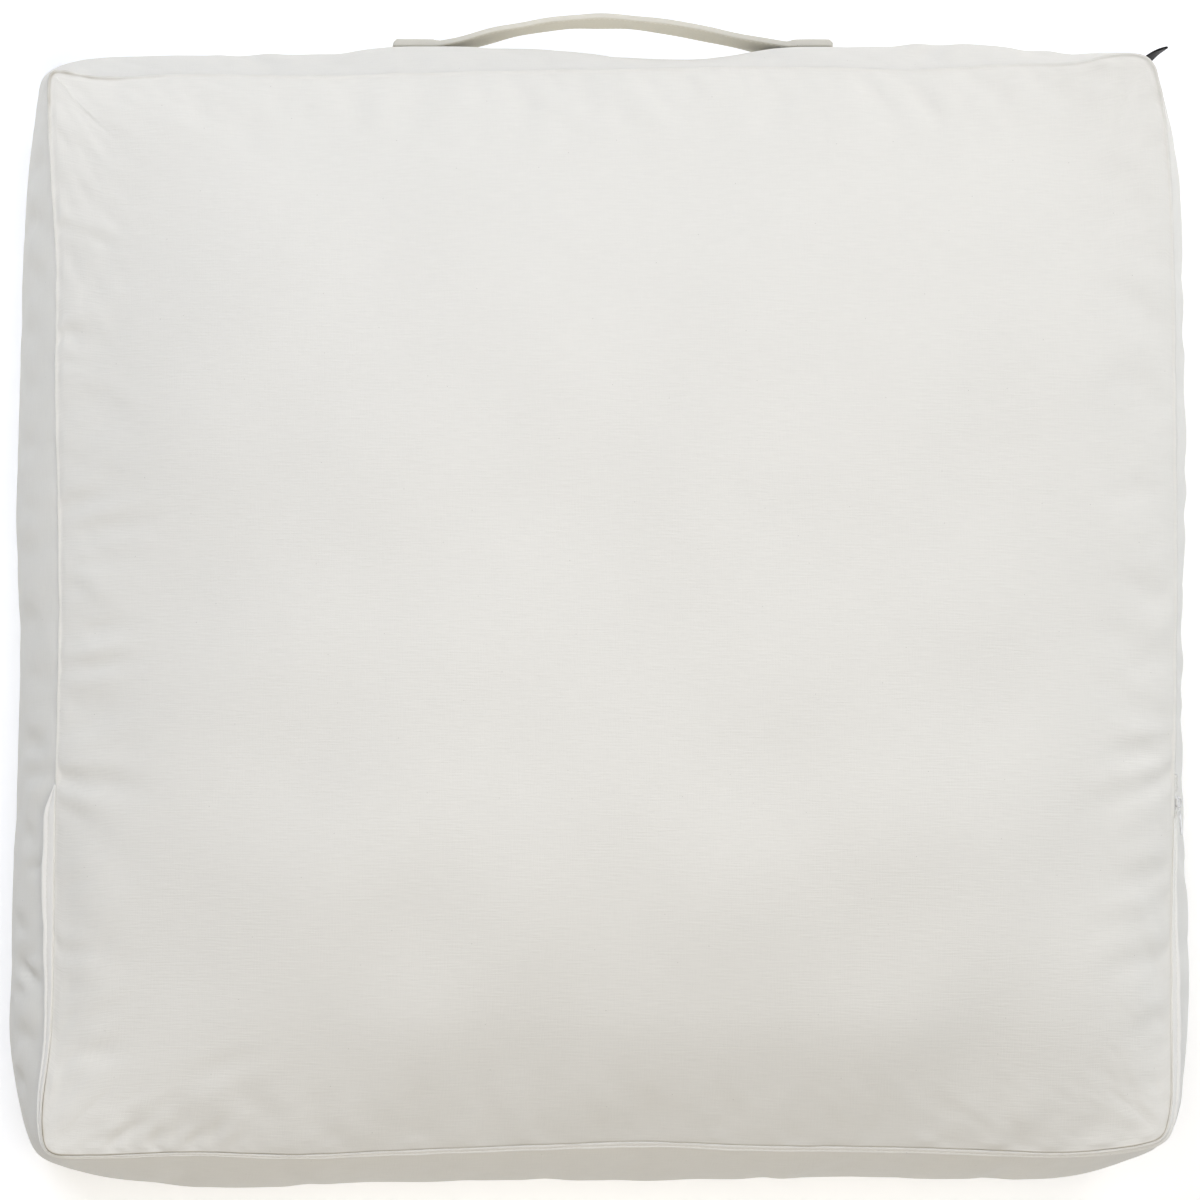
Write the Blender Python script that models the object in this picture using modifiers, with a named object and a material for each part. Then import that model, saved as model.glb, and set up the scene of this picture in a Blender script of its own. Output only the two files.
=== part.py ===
"""Square floor pillow with a carry handle, a covered zip and a ribbon tab.

Metres, +Z up. The pillow lies on its back: the face panel looks up, the handle is sewn
to the rear band (+Y), and the zip runs along the upper seam from the left side (-X),
round the front (-Y), to the right side (+X). The origin is the middle of the flat
resting face.
"""

import math
from collections import namedtuple

import bmesh
import bpy
import numpy as np
from mathutils import Matrix, Vector
from mathutils.bvhtree import BVHTree

MM = 0.001
TOUCH_GAP = 0.35 * MM  # daylight between two pieces that meet
LAID_GAP = 0.6 * MM  # the same for cloth laid over the curved band, whose facets eat some of it

# Pillow: panels, side band and filling
FACE_HALF_X = 0.330  # middle of the panel to its left or right seam
FACE_HALF_Y = 0.319  # middle of the panel to its front or rear seam
LOWER_SEAM_Z = 0.022
UPPER_SEAM_Z = 0.142
BAND_CLOTH = 0.130  # height of the band's cloth, measured over its bulge
CROWN = 0.060  # how far the filled face stands above its seam
CROWN_SPREAD = 3.0  # larger is flatter on top
CROWN_ROLL = 0.90  # smaller is steeper beside the seam
REST_SHARE = 0.68  # share of the back panel that lies flat
PANEL_CELLS = 14
BAND_CELLS = 5
EDGE_SQUEEZE = 0.35  # cells are closer together near the seams
SEAM_CREASE = 0.85
BODY_SMOOTH = 1

# A side of the pillow. along runs from -1 to +1 in the direction of +X or +Y,
# seam_out is how far the seam stands out of its straight line, and bulge is how far
# the filled band stands out of the seam.
SidePoint = namedtuple("SidePoint", "along seam_out_mm bulge_mm")

LEFT_SIDE = (
    SidePoint(-1.00, 4.0, 2.5),
    SidePoint(-0.93, 7.5, 9.0),
    SidePoint(-0.80, 0.0, 23.5),
    SidePoint(-0.68, -1.0, 22.3),
    SidePoint(-0.54, -1.5, 23.5),
    SidePoint(-0.31, -2.0, 19.5),
    SidePoint(-0.04, -4.0, 21.5),
    SidePoint(0.18, -3.0, 22.5),
    SidePoint(0.39, -1.0, 18.5),
    SidePoint(0.65, -1.5, 18.5),
    SidePoint(0.85, 3.5, 10.0),
    SidePoint(1.00, 4.5, 1.0),
)
RIGHT_SIDE = (
    SidePoint(-1.00, -1.5, 9.5),
    SidePoint(-0.96, 5.0, 13.0),
    SidePoint(-0.78, 4.5, 18.5),
    SidePoint(-0.54, 5.0, 19.8),
    SidePoint(-0.38, 6.2, 15.0),
    SidePoint(-0.24, 7.4, 12.2),
    SidePoint(0.10, 8.7, 12.8),
    SidePoint(0.61, 8.0, 15.0),
    SidePoint(0.78, 6.5, 15.0),
    SidePoint(0.92, 2.5, 11.5),
    SidePoint(1.00, -5.5, 5.5),
)
FRONT_SIDE = (
    SidePoint(-1.00, 3.5, 1.5),
    SidePoint(-0.90, 3.5, 15.0),
    SidePoint(-0.75, 1.0, 22.0),
    SidePoint(-0.56, 3.5, 19.0),
    SidePoint(-0.38, 0.5, 19.5),
    SidePoint(0.06, -5.0, 25.0),
    SidePoint(0.16, -3.5, 20.8),
    SidePoint(0.24, -2.0, 19.8),
    SidePoint(0.34, -1.8, 21.3),
    SidePoint(0.50, -1.2, 18.3),
    SidePoint(0.66, 0.5, 20.0),
    SidePoint(0.82, 3.0, 16.3),
    SidePoint(0.94, -0.5, 11.5),
    SidePoint(1.00, -6.0, 5.0),
)
REAR_SIDE = (
    SidePoint(-1.00, 2.0, 2.0),
    SidePoint(-0.94, -8.0, 20.0),
    SidePoint(-0.87, -6.0, 18.0),
    SidePoint(-0.77, -3.5, 18.3),
    SidePoint(-0.50, -4.0, 21.0),
    SidePoint(-0.38, -1.5, 24.0),
    SidePoint(-0.24, 0.0, 22.0),
    SidePoint(0.00, 2.0, 15.5),
    SidePoint(0.20, 4.0, 11.5),
    SidePoint(0.34, 5.0, 20.5),
    SidePoint(0.46, 4.5, 20.5),
    SidePoint(0.57, 4.0, 22.0),
    SidePoint(0.75, 9.0, 18.5),
    SidePoint(0.84, 8.0, 15.0),
    SidePoint(0.88, 9.0, 12.0),
    SidePoint(0.93, 18.5, 6.0),
    SidePoint(1.00, 13.5, 3.0),
)

# Lip of folded cloth over the zip
LIP_WIDTH = 6.5 * MM
LIP_THICKNESS = 1.4 * MM
LIP_LEFT_END_Y = -0.099
LIP_RIGHT_END_Y = -0.118

# Zip slider, its pull tab and the end of the zip tape
SLIDER_LENGTH = 8.5 * MM
SLIDER_WIDTH = 5.5 * MM
SLIDER_THICKNESS = 2.6 * MM
SLIDER_Y = -0.1135
PULL_LENGTH = 16.0 * MM
PULL_NECK = 2.4 * MM
PULL_TIP = 4.2 * MM
PULL_THICKNESS = 1.0 * MM
TAPE_LOOP_LENGTH = 11.0 * MM
TAPE_LOOP_HALF_WIDTH = 1.3 * MM
TAPE_RADIUS = 0.75 * MM
TAPE_Y = -0.1025
ZIP_DROP = 4.0 * MM  # the slider's middle below the upper seam

# Carry handle, a strap whose ends are folded under and sewn to the band
HANDLE_MIDDLE_X = 0.008
HANDLE_HALF_SPAN = 0.133
HANDLE_PATCH = 0.026  # length of each sewn end
HANDLE_WIDTH = 0.028
HANDLE_Z = 0.069
HANDLE_RISE = 0.0170  # height of the arch above a straight line between its sewn ends
HANDLE_ARCH_SHAPE = 1.25  # larger leaves the band more gently
HANDLE_ARCH_SKEW = 0.9  # less than 1 puts the top of the arch nearer its left end
HANDLE_UPRIGHT = 0.45  # how much less the strap leans at its middle than at its ends
HANDLE_END_THICKNESS = 4.4 * MM
HANDLE_FREE_SHARE = 0.75  # thickness of the free strap, as a share of the sewn end's
HANDLE_COLUMNS = 44
HANDLE_ROWS = 4

# Ribbon tab caught in the rear right corner
TAB_LENGTH = 14.5 * MM
TAB_WIDTH = 10.0 * MM
TAB_THICKNESS = 1.1 * MM
TAB_START_HEADING = math.radians(48)
TAB_END_HEADING = math.radians(22)
TAB_START_LEAN = math.radians(34)  # the ribbon lies over at the seam and stands up at its fold
TAB_DROP = 4.0 * MM
TAB_COLUMNS = 8
TAB_ROWS = 3

COLOURS = {
    "cotton": ((0.83, 0.82, 0.77, 1.0), 0.9, 0.0),
    "white_enamel": ((0.85, 0.85, 0.85, 1.0), 0.35, 0.4),
    "white_tape": ((0.88, 0.88, 0.87, 1.0), 0.7, 0.0),
    "black_ribbon": ((0.02, 0.017, 0.02, 1.0), 0.5, 0.0),
}


def clear_scene():
    """Remove every object that is already in the file."""
    for obj in list(bpy.data.objects):
        bpy.data.objects.remove(obj, do_unlink=True)


def new_collection(name):
    """A collection linked to the scene."""
    collection = bpy.data.collections.new(name)
    bpy.context.scene.collection.children.link(collection)
    return collection


def new_material(name, finish):
    """A Principled material in one of the named colours."""
    colour, roughness, metallic = COLOURS[finish]
    material = bpy.data.materials.new(name)
    material.use_nodes = True
    shader = material.node_tree.nodes["Principled BSDF"]
    shader.inputs["Base Color"].default_value = colour
    shader.inputs["Roughness"].default_value = roughness
    shader.inputs["Metallic"].default_value = metallic
    return material


def add_piece(name, bm, collection, finish):
    """Turn a bmesh into a named object with smooth faces and its own material."""
    bmesh.ops.recalc_face_normals(bm, faces=bm.faces[:])
    mesh = bpy.data.meshes.new(name)
    bm.to_mesh(mesh)
    bm.free()
    mesh.shade_smooth()
    mesh.materials.append(new_material(name, finish))
    piece = bpy.data.objects.new(name, mesh)
    collection.objects.link(piece)
    return piece


def add_grid_piece(name, points, collection, finish):
    """An open surface through an array of points, rows by columns."""
    rows, columns = points.shape[:2]
    bm = bmesh.new()
    verts = [[bm.verts.new(points[r, c]) for c in range(columns)] for r in range(rows)]
    for r in range(rows - 1):
        for c in range(columns - 1):
            bm.faces.new((verts[r][c], verts[r][c + 1], verts[r + 1][c + 1], verts[r + 1][c]))
    return add_piece(name, bm, collection, finish)


def thicken(piece, thickness, outward, group=None):
    """Give an open surface its thickness, all of it on the side that outward points to."""
    facing = sum(polygon.normal.dot(outward(polygon.center)) for polygon in piece.data.polygons)
    solidify = piece.modifiers.new("thickness", "SOLIDIFY")
    solidify.thickness = thickness
    solidify.offset = 1.0 if facing > 0 else -1.0
    solidify.use_even_offset = True
    if group:
        solidify.vertex_group = group


def side_value(side, along, column):
    """Read one column of a side's table at a place along it, in metres."""
    places = [point.along for point in side]
    values = [getattr(point, column) for point in side]
    return float(np.interp(along, places, values)) * MM


def squeeze(t):
    """Move evenly spaced places closer together towards -1 and +1."""
    return (1 + EDGE_SQUEEZE) * t - EDGE_SQUEEZE * t**3


def panel_plan(u, w):
    """Plan position of a panel point: straight lines warped to the uneven seams."""
    right = side_value(RIGHT_SIDE, w, "seam_out_mm") * max(u, 0) ** 2
    left = side_value(LEFT_SIDE, w, "seam_out_mm") * max(-u, 0) ** 2
    rear = side_value(REAR_SIDE, u, "seam_out_mm") * max(w, 0) ** 2
    front = side_value(FRONT_SIDE, u, "seam_out_mm") * max(-w, 0) ** 2
    return u * FACE_HALF_X + right - left, w * FACE_HALF_Y + rear - front


def crown_share(t):
    """Height of the filled face across one direction: 1 in the middle, 0 at the seam."""
    return (1 - abs(t) ** CROWN_SPREAD) ** CROWN_ROLL


def clear_share(t):
    """How far the back panel has left the floor: 0 where it rests, 1 at the seam."""
    return max(0.0, (abs(t) - REST_SHARE) / (1 - REST_SHARE)) ** 1.6


def seam_lift(u, w):
    """How much further apart the seams are here than at the middle of a side.

    The band's cloth is equally high all round, so where it bulges less its seams stand
    further apart: an arc of length L and rise b has a chord of about L - 8 b^2 / (3 L).
    The lift fades towards the middle of the panel.
    """
    total = 0.0
    lift = 0.0
    for side, along, nearness in (
        (RIGHT_SIDE, w, u),
        (LEFT_SIDE, w, -u),
        (REAR_SIDE, u, w),
        (FRONT_SIDE, u, -w),
    ):
        weight = max(nearness, 0.0) ** 4
        bulge = side_value(side, along, "bulge_mm")
        chord = BAND_CLOTH - 8 * bulge**2 / (3 * BAND_CLOTH)
        lift += weight * (chord - (UPPER_SEAM_Z - LOWER_SEAM_Z)) / 2
        total += weight
    return lift / max(1.0, total)


def band_bulge(u, w):
    """How far the band stands out of the seam at its fullest, in X and in Y."""
    out_x = 0.0
    out_y = 0.0
    if abs(u) == 1:
        side = RIGHT_SIDE if u > 0 else LEFT_SIDE
        out_x = math.copysign(side_value(side, w, "bulge_mm"), u)
    if abs(w) == 1:
        side = REAR_SIDE if w > 0 else FRONT_SIDE
        out_y = math.copysign(side_value(side, u, "bulge_mm"), w)
    return out_x, out_y


def pillow_point(u, w, v):
    """Place one cage point. u and w run across the panels and v up the band, 0 to 1."""
    u, w = squeeze(u), squeeze(w)
    x, y = panel_plan(u, w)
    upper = UPPER_SEAM_Z + seam_lift(u, w)
    lower = LOWER_SEAM_Z - seam_lift(u, w)
    if abs(u) < 1 and abs(w) < 1:
        if v > 0.5:
            return x, y, upper + CROWN * crown_share(u) * crown_share(w)
        clear = 1 - (1 - clear_share(u)) * (1 - clear_share(w))
        return x, y, lower * clear
    out_x, out_y = band_bulge(u, w)
    fullness = 4 * v * (1 - v)
    return x + out_x * fullness, y + out_y * fullness, lower + (upper - lower) * v


def make_pillow(collection):
    """The filled pillow: a cube cut into cells, shaped point by point and then smoothed."""
    bm = bmesh.new()
    bmesh.ops.create_cube(bm, size=2)
    upright = [e for e in bm.edges if abs(e.verts[0].co.z - e.verts[1].co.z) > 1]
    bmesh.ops.subdivide_edges(bm, edges=upright, cuts=BAND_CELLS - 1)
    level = [e for e in bm.edges if abs(e.verts[0].co.z - e.verts[1].co.z) < 1e-4]
    bmesh.ops.subdivide_edges(bm, edges=level, cuts=PANEL_CELLS - 1, use_grid_fill=True)

    crease = bm.edges.layers.float.new("crease_edge")
    for edge in bm.edges:
        a, b = (v.co for v in edge.verts)
        at_seam = abs(a.z) > 0.999 and abs(b.z) > 0.999
        along_x = abs(a.y) > 0.999 and abs(b.y) > 0.999
        along_y = abs(a.x) > 0.999 and abs(b.x) > 0.999
        if at_seam and (along_x or along_y):
            edge[crease] = SEAM_CREASE
            edge.seam = a.z > 0
    for vert in bm.verts:
        u = round(vert.co.x, 6)
        w = round(vert.co.y, 6)
        vert.co = pillow_point(u, w, (vert.co.z + 1) / 2)

    pillow = add_piece("pillow_body", bm, collection, "cotton")
    smooth = pillow.modifiers.new("filling", "SUBSURF")
    smooth.levels = BODY_SMOOTH
    smooth.render_levels = BODY_SMOOTH
    return pillow


class PillowSurface:
    """The finished surface of the pillow, for seating other pieces on it."""

    def __init__(self, pillow):
        depsgraph = bpy.context.evaluated_depsgraph_get()
        self.tree = BVHTree.FromObject(pillow, depsgraph)
        mesh = pillow.evaluated_get(depsgraph).to_mesh()
        self.seam_loop = self.ordered_seam(mesh)

    @staticmethod
    def ordered_seam(mesh):
        """Upper seam points in order, each with the next point down the band."""
        links = {}
        joined = {}
        for edge in mesh.edges:
            a, b = edge.vertices
            joined.setdefault(a, []).append(b)
            joined.setdefault(b, []).append(a)
            if edge.use_seam:
                links.setdefault(a, []).append(b)
                links.setdefault(b, []).append(a)
        points = {index: mesh.vertices[index].co.copy() for index in joined}
        start = min(links, key=lambda index: (points[index] - Vector((0, 1, UPPER_SEAM_Z))).length)
        order = [start]
        previous, current = start, min(links[start], key=lambda index: points[index].x)
        while current != start:
            order.append(current)
            onward = [index for index in links[current] if index != previous]
            previous, current = current, onward[0]
        below = [min(joined[index], key=lambda other: points[other].z) for index in order]
        return [(points[index], points[lower]) for index, lower in zip(order, below)]

    def rear_y(self, x, z):
        """Where the rear band is, seen from behind."""
        hit = self.tree.ray_cast(Vector((x, 1, z)), Vector((0, -1, 0)))[0]
        return hit.y

    def seat(self, near):
        """Nearest place on the cloth, with its outward normal."""
        place, normal = self.tree.find_nearest(near)[:2]
        return place, normal


def seam_place(surface, side_x, y, drop):
    """A place on a side band, drop below the upper seam, with the seam's direction."""
    loop = [pair for pair in surface.seam_loop if pair[0].x * side_x > 0]
    loop.sort(key=lambda pair: abs(pair[0].y - y))
    (first, first_low), (second, _) = loop[0], loop[1]
    share = (y - first.y) / (second.y - first.y)
    seam = first.lerp(second, share)
    down = (first_low - first).normalized()
    place, normal = surface.seat(seam + down * drop)
    along = Vector((0, -1, 0))
    along = (along - normal * along.dot(normal)).normalized()
    return place, along, normal


def make_zip_lip(surface, collection):
    """The folded lip: a strip of the band beside the seam, lifted off it and thickened."""
    upper_row = []
    lower_row = []
    count = len(surface.seam_loop)
    for index, (seam, lower) in enumerate(surface.seam_loop):
        end_y = LIP_LEFT_END_Y if seam.x < 0 else LIP_RIGHT_END_Y
        if seam.y > end_y:
            continue
        before = surface.seam_loop[index - 1][0]
        after = surface.seam_loop[(index + 1) % count][0]
        down = lower - seam
        normal = (after - before).cross(down).normalized()
        if normal.dot(seam) < 0:
            normal = -normal
        inner = seam + normal * LAID_GAP
        upper_row.append(inner)
        lower_row.append(inner + down.normalized() * LIP_WIDTH)
    lip = add_grid_piece("zip_lip", np.array([upper_row, lower_row]), collection, "cotton")
    thicken(lip, LIP_THICKNESS, lambda centre: Vector((centre.x, centre.y, 0)))


def frame_at(place, along, normal):
    """Matrix whose X runs along, whose Z is the outward normal, and whose origin is place."""
    across = normal.cross(along)
    turn = Matrix((along, across, normal)).transposed().to_4x4()
    return Matrix.Translation(place) @ turn


def make_slider(surface, collection):
    """The slider: a small bevelled block, narrower towards the pull."""
    place, along, normal = seam_place(surface, 1, SLIDER_Y, ZIP_DROP)
    bm = bmesh.new()
    bmesh.ops.create_cube(bm, size=1)
    for vert in bm.verts:
        taper = 0.72 if vert.co.x > 0 else 1.0
        vert.co.x *= SLIDER_LENGTH
        vert.co.y *= SLIDER_WIDTH * taper
        vert.co.z *= SLIDER_THICKNESS
    bmesh.ops.bevel(
        bm, geom=bm.edges[:], offset=0.6 * MM, segments=2, profile=0.5, affect="EDGES"
    )
    slider = add_piece("zip_slider", bm, collection, "white_enamel")
    lift = TOUCH_GAP + SLIDER_THICKNESS / 2
    slider.matrix_world = frame_at(place + normal * lift, along, normal)


def make_pull(surface, collection):
    """The pull tab: a thin plate that widens towards its rounded end."""
    start = SLIDER_Y - SLIDER_LENGTH / 2 - TOUCH_GAP
    place, along, normal = seam_place(surface, 1, start - PULL_LENGTH / 2, ZIP_DROP)
    bm = bmesh.new()
    bmesh.ops.create_cube(bm, size=1)
    for vert in bm.verts:
        width = PULL_TIP if vert.co.x > 0 else PULL_NECK
        vert.co.x *= PULL_LENGTH
        vert.co.y *= width
        vert.co.z *= PULL_THICKNESS
    corners = [e for e in bm.edges if abs(e.verts[0].co.z - e.verts[1].co.z) > PULL_THICKNESS / 2]
    bmesh.ops.bevel(bm, geom=corners, offset=1.0 * MM, segments=4, profile=0.5, affect="EDGES")
    pull = add_piece("zip_pull", bm, collection, "white_enamel")
    lift = LAID_GAP + LIP_THICKNESS + TOUCH_GAP + PULL_THICKNESS / 2
    pull.matrix_world = frame_at(place + normal * lift, along, normal)


def make_tape_end(surface, collection):
    """The end of the zip tape: a narrow loop that comes out of the seam past the slider."""
    place, along, normal = seam_place(surface, 1, TAPE_Y, ZIP_DROP * 0.75)
    straight = TAPE_LOOP_LENGTH / 2 - TAPE_LOOP_HALF_WIDTH
    route = [(straight, -TAPE_LOOP_HALF_WIDTH)]
    for step in range(9):
        angle = -math.pi / 2 - math.pi * step / 8
        bend = TAPE_LOOP_HALF_WIDTH
        route.append((-straight + bend * math.cos(angle), bend * math.sin(angle)))
    route.append((straight, TAPE_LOOP_HALF_WIDTH))

    curve = bpy.data.curves.new("zip_tape_end", "CURVE")
    curve.dimensions = "3D"
    curve.bevel_depth = TAPE_RADIUS
    curve.bevel_resolution = 2
    curve.use_fill_caps = True
    spline = curve.splines.new("POLY")
    spline.points.add(len(route) - 1)
    for point, (x, y) in zip(spline.points, route):
        point.co = (x, y, 0, 1)
    curve.materials.append(new_material("zip_tape_end", "white_tape"))
    tape = bpy.data.objects.new("zip_tape_end", curve)
    collection.objects.link(tape)
    tape.matrix_world = frame_at(place + normal * (TOUCH_GAP + TAPE_RADIUS), along, normal)


def make_handle(surface, collection):
    """The strap: laid on the band at both sewn ends, arched away from it between them."""
    first_x = HANDLE_MIDDLE_X - HANDLE_HALF_SPAN
    last_x = HANDLE_MIDDLE_X + HANDLE_HALF_SPAN
    free_start = first_x + HANDLE_PATCH
    free_end = last_x - HANDLE_PATCH
    columns = np.linspace(first_x, last_x, HANDLE_COLUMNS + 1)
    rows = np.linspace(HANDLE_Z - HANDLE_WIDTH / 2, HANDLE_Z + HANDLE_WIDTH / 2, HANDLE_ROWS + 1)
    points = np.zeros((len(rows), len(columns), 3))
    for r, z in enumerate(rows):
        left_y = surface.rear_y(free_start, z)
        right_y = surface.rear_y(free_end, z)
        left_lean = left_y - surface.rear_y(free_start, HANDLE_Z)
        right_lean = right_y - surface.rear_y(free_end, HANDLE_Z)
        for c, x in enumerate(columns):
            y = surface.rear_y(x, z)
            if free_start < x < free_end:
                t = (x - free_start) / (free_end - free_start)
                arch = HANDLE_RISE * math.sin(math.pi * t**HANDLE_ARCH_SKEW) ** HANDLE_ARCH_SHAPE
                upright = HANDLE_UPRIGHT * math.sin(math.pi * t)
                straight = left_y + (right_y - left_y) * t
                lean = left_lean + (right_lean - left_lean) * t
                y = max(y, straight - lean * upright + arch)
            points[r, c] = (x, y + LAID_GAP, z)
    handle = add_grid_piece("handle", points, collection, "cotton")

    group = handle.vertex_groups.new(name="layers")
    for vert in handle.data.vertices:
        from_end = min(vert.co.x - columns[0], columns[-1] - vert.co.x)
        share = 1.0 if from_end < HANDLE_PATCH else HANDLE_FREE_SHARE
        group.add([vert.index], share, "REPLACE")
    thicken(handle, HANDLE_END_THICKNESS, lambda centre: Vector((0, 1, 0)), "layers")


def make_tab(surface, collection):
    """The ribbon tab: a folded ribbon that twists upright as it leaves the corner."""
    corner = max((pair[0] for pair in surface.seam_loop), key=lambda p: p.x + p.y)
    base, normal = surface.seat(corner - Vector((0, 0, TAB_DROP)))
    start = base + Vector((normal.x, normal.y, 0)).normalized() * (TOUCH_GAP + TAB_THICKNESS)
    points = np.zeros((TAB_ROWS + 1, TAB_COLUMNS + 1, 3))
    place = start.copy()
    for c in range(TAB_COLUMNS + 1):
        share = c / TAB_COLUMNS
        heading = TAB_START_HEADING + (TAB_END_HEADING - TAB_START_HEADING) * share
        lean = TAB_START_LEAN * (1 - share)
        forward = Vector((math.cos(heading), math.sin(heading), 0))
        side = Vector((math.sin(heading), -math.cos(heading), 0))
        across = side * math.sin(lean) - Vector((0, 0, math.cos(lean)))
        if c:
            place = place + forward * (TAB_LENGTH / TAB_COLUMNS)
        for r in range(TAB_ROWS + 1):
            points[r, c] = place + across * TAB_WIDTH * (r / TAB_ROWS - 0.5)
    tab = add_grid_piece("label_tab", points, collection, "black_ribbon")
    thicken(tab, TAB_THICKNESS, lambda centre: Vector((-1, 1, 0)))


def main():
    clear_scene()
    collection = new_collection("floor_pillow")
    pillow = make_pillow(collection)
    bpy.context.view_layer.update()
    surface = PillowSurface(pillow)
    make_zip_lip(surface, collection)
    make_slider(surface, collection)
    make_pull(surface, collection)
    make_tape_end(surface, collection)
    make_handle(surface, collection)
    make_tab(surface, collection)


main()
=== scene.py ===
# %% [markdown]
# # A square floor pillow
#
# The pillow is a box-edge cushion: two square panels of plain-woven cotton, a band that
# runs round all four sides, and a soft filling that swells all of them. It lies on its back,
# so the face panel looks up (+Z). The carry handle is on the rear band (+Y), and the zip runs
# from the left side (-X) round the front (-Y) to the right side (+X), under a folded lip.
#
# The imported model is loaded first. It is the fixed frame that says where everything is.

# %% Load the frame
import math
from collections import namedtuple

import bmesh
import bpy
import numpy as np
from mathutils import Matrix, Vector


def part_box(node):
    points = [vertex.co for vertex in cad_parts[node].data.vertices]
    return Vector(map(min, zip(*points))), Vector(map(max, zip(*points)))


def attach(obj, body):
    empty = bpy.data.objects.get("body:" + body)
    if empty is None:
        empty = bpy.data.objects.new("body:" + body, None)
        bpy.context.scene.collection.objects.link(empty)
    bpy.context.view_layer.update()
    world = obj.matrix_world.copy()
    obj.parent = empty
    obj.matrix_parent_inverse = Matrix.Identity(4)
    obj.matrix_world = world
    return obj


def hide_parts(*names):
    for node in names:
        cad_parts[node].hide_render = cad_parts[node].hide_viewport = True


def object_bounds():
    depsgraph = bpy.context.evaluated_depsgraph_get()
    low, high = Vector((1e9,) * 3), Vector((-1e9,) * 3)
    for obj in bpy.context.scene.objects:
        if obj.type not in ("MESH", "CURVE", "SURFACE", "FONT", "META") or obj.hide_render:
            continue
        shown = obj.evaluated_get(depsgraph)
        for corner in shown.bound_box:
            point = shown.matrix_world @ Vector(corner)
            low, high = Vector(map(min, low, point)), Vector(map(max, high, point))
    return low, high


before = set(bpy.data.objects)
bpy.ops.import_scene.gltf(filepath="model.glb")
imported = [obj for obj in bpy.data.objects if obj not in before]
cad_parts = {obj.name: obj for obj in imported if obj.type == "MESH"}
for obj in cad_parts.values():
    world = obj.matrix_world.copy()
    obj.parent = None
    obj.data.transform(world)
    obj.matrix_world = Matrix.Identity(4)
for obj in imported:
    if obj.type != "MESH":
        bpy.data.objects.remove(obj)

MM = 0.001
FULL_TURN = 2 * math.pi
cad_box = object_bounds()
cad_size_mm = [round((high - low) / MM, 1) for low, high in zip(*cad_box)]
print("CAD box", cad_size_mm, "mm; nodes", sorted(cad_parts))

# %% [markdown]
# ## The four sides
#
# A sewn and filled cushion is never quite straight. Each side has a short table: how far the
# seam stands out of its straight line at a few places, and how far the filled band bulges out
# of the seam there. The tables are read as smooth curves, by averaging nearby places, because
# cloth under tension has no kinks.

# %% Side tables
SidePoint = namedtuple("SidePoint", "along seam_out_mm bulge_mm")


def side_table(*rows):
    """A side's points, each row being along (-1 to 1), seam_out_mm and bulge_mm."""
    return [SidePoint(*row) for row in rows]


LEFT_SIDE = side_table(
    (-1.00, 4.0, 2.5),
    (-0.93, 7.5, 9.0),
    (-0.80, 0.0, 23.5),
    (-0.68, -1.0, 22.3),
    (-0.54, -1.5, 23.5),
    (-0.31, -2.0, 19.5),
    (-0.04, -4.0, 21.5),
    (0.18, -3.0, 22.5),
    (0.39, -1.0, 18.5),
    (0.65, -1.5, 18.5),
    (0.85, 3.5, 10.0),
    (1.00, 4.5, 1.0),
)
RIGHT_SIDE = side_table(
    (-1.00, -1.5, 9.5),
    (-0.96, 5.0, 13.0),
    (-0.78, 4.5, 18.5),
    (-0.54, 5.0, 19.8),
    (-0.38, 6.2, 15.0),
    (-0.24, 7.4, 12.2),
    (0.10, 8.7, 12.8),
    (0.61, 8.0, 15.0),
    (0.78, 6.5, 15.0),
    (0.92, 2.5, 11.5),
    (1.00, -5.5, 5.5),
)
FRONT_SIDE = side_table(
    (-1.00, 3.5, 1.5),
    (-0.90, 3.5, 15.0),
    (-0.75, 1.0, 22.0),
    (-0.56, 3.5, 19.0),
    (-0.38, 0.5, 19.5),
    (0.06, -5.0, 25.0),
    (0.16, -3.5, 20.8),
    (0.24, -2.0, 19.8),
    (0.34, -1.8, 21.3),
    (0.50, -1.2, 18.3),
    (0.66, 0.5, 20.0),
    (0.82, 3.0, 16.3),
    (0.94, -0.5, 11.5),
    (1.00, -6.0, 5.0),
)
REAR_SIDE = side_table(
    (-1.00, 2.0, 2.0),
    (-0.94, -8.0, 20.0),
    (-0.87, -6.0, 18.0),
    (-0.77, -3.5, 18.3),
    (-0.50, -4.0, 21.0),
    (-0.38, -1.5, 24.0),
    (-0.24, 0.0, 22.0),
    (0.00, 2.0, 15.5),
    (0.20, 4.0, 11.5),
    (0.34, 5.0, 20.5),
    (0.46, 4.5, 20.5),
    (0.57, 4.0, 22.0),
    (0.75, 9.0, 18.5),
    (0.84, 8.0, 15.0),
    (0.88, 9.0, 12.0),
    (0.93, 18.5, 6.0),
    (1.00, 13.5, 3.0),
)
TABLE_ROUNDING = 0.035  # averaging distance, as a share of half a side
TABLE_REACH = 1.4  # read past the corners, so that the ends are averaged too
TABLE_STEPS = 1121
BELL_STEPS = 60  # steps averaged each way


def read_side(side, column, along):
    """A side's column as a curve: straight lines between its points, each place averaged
    with its neighbours by a bell curve. In metres."""
    fine = np.linspace(-TABLE_REACH, TABLE_REACH, TABLE_STEPS)
    straight = np.interp(fine, [p.along for p in side], [getattr(p, column) for p in side])
    reach = np.arange(-BELL_STEPS, BELL_STEPS + 1) * (fine[1] - fine[0])
    weights = np.exp(-((reach / TABLE_ROUNDING) ** 2) / 2)
    smooth = np.convolve(straight, weights / weights.sum(), "same")
    return np.interp(along, fine, smooth) * MM


# %% [markdown]
# ## The seam loop
#
# Both seams are one closed line round the panel, so they are worked out as one loop. `s` runs
# from 0 to 4 anticlockwise: 0 to 1 along the front, then right, rear and left. A sewn corner
# can't be perfectly sharp once it is turned out, so the loop is averaged along its length,
# which rounds its corners.

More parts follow.
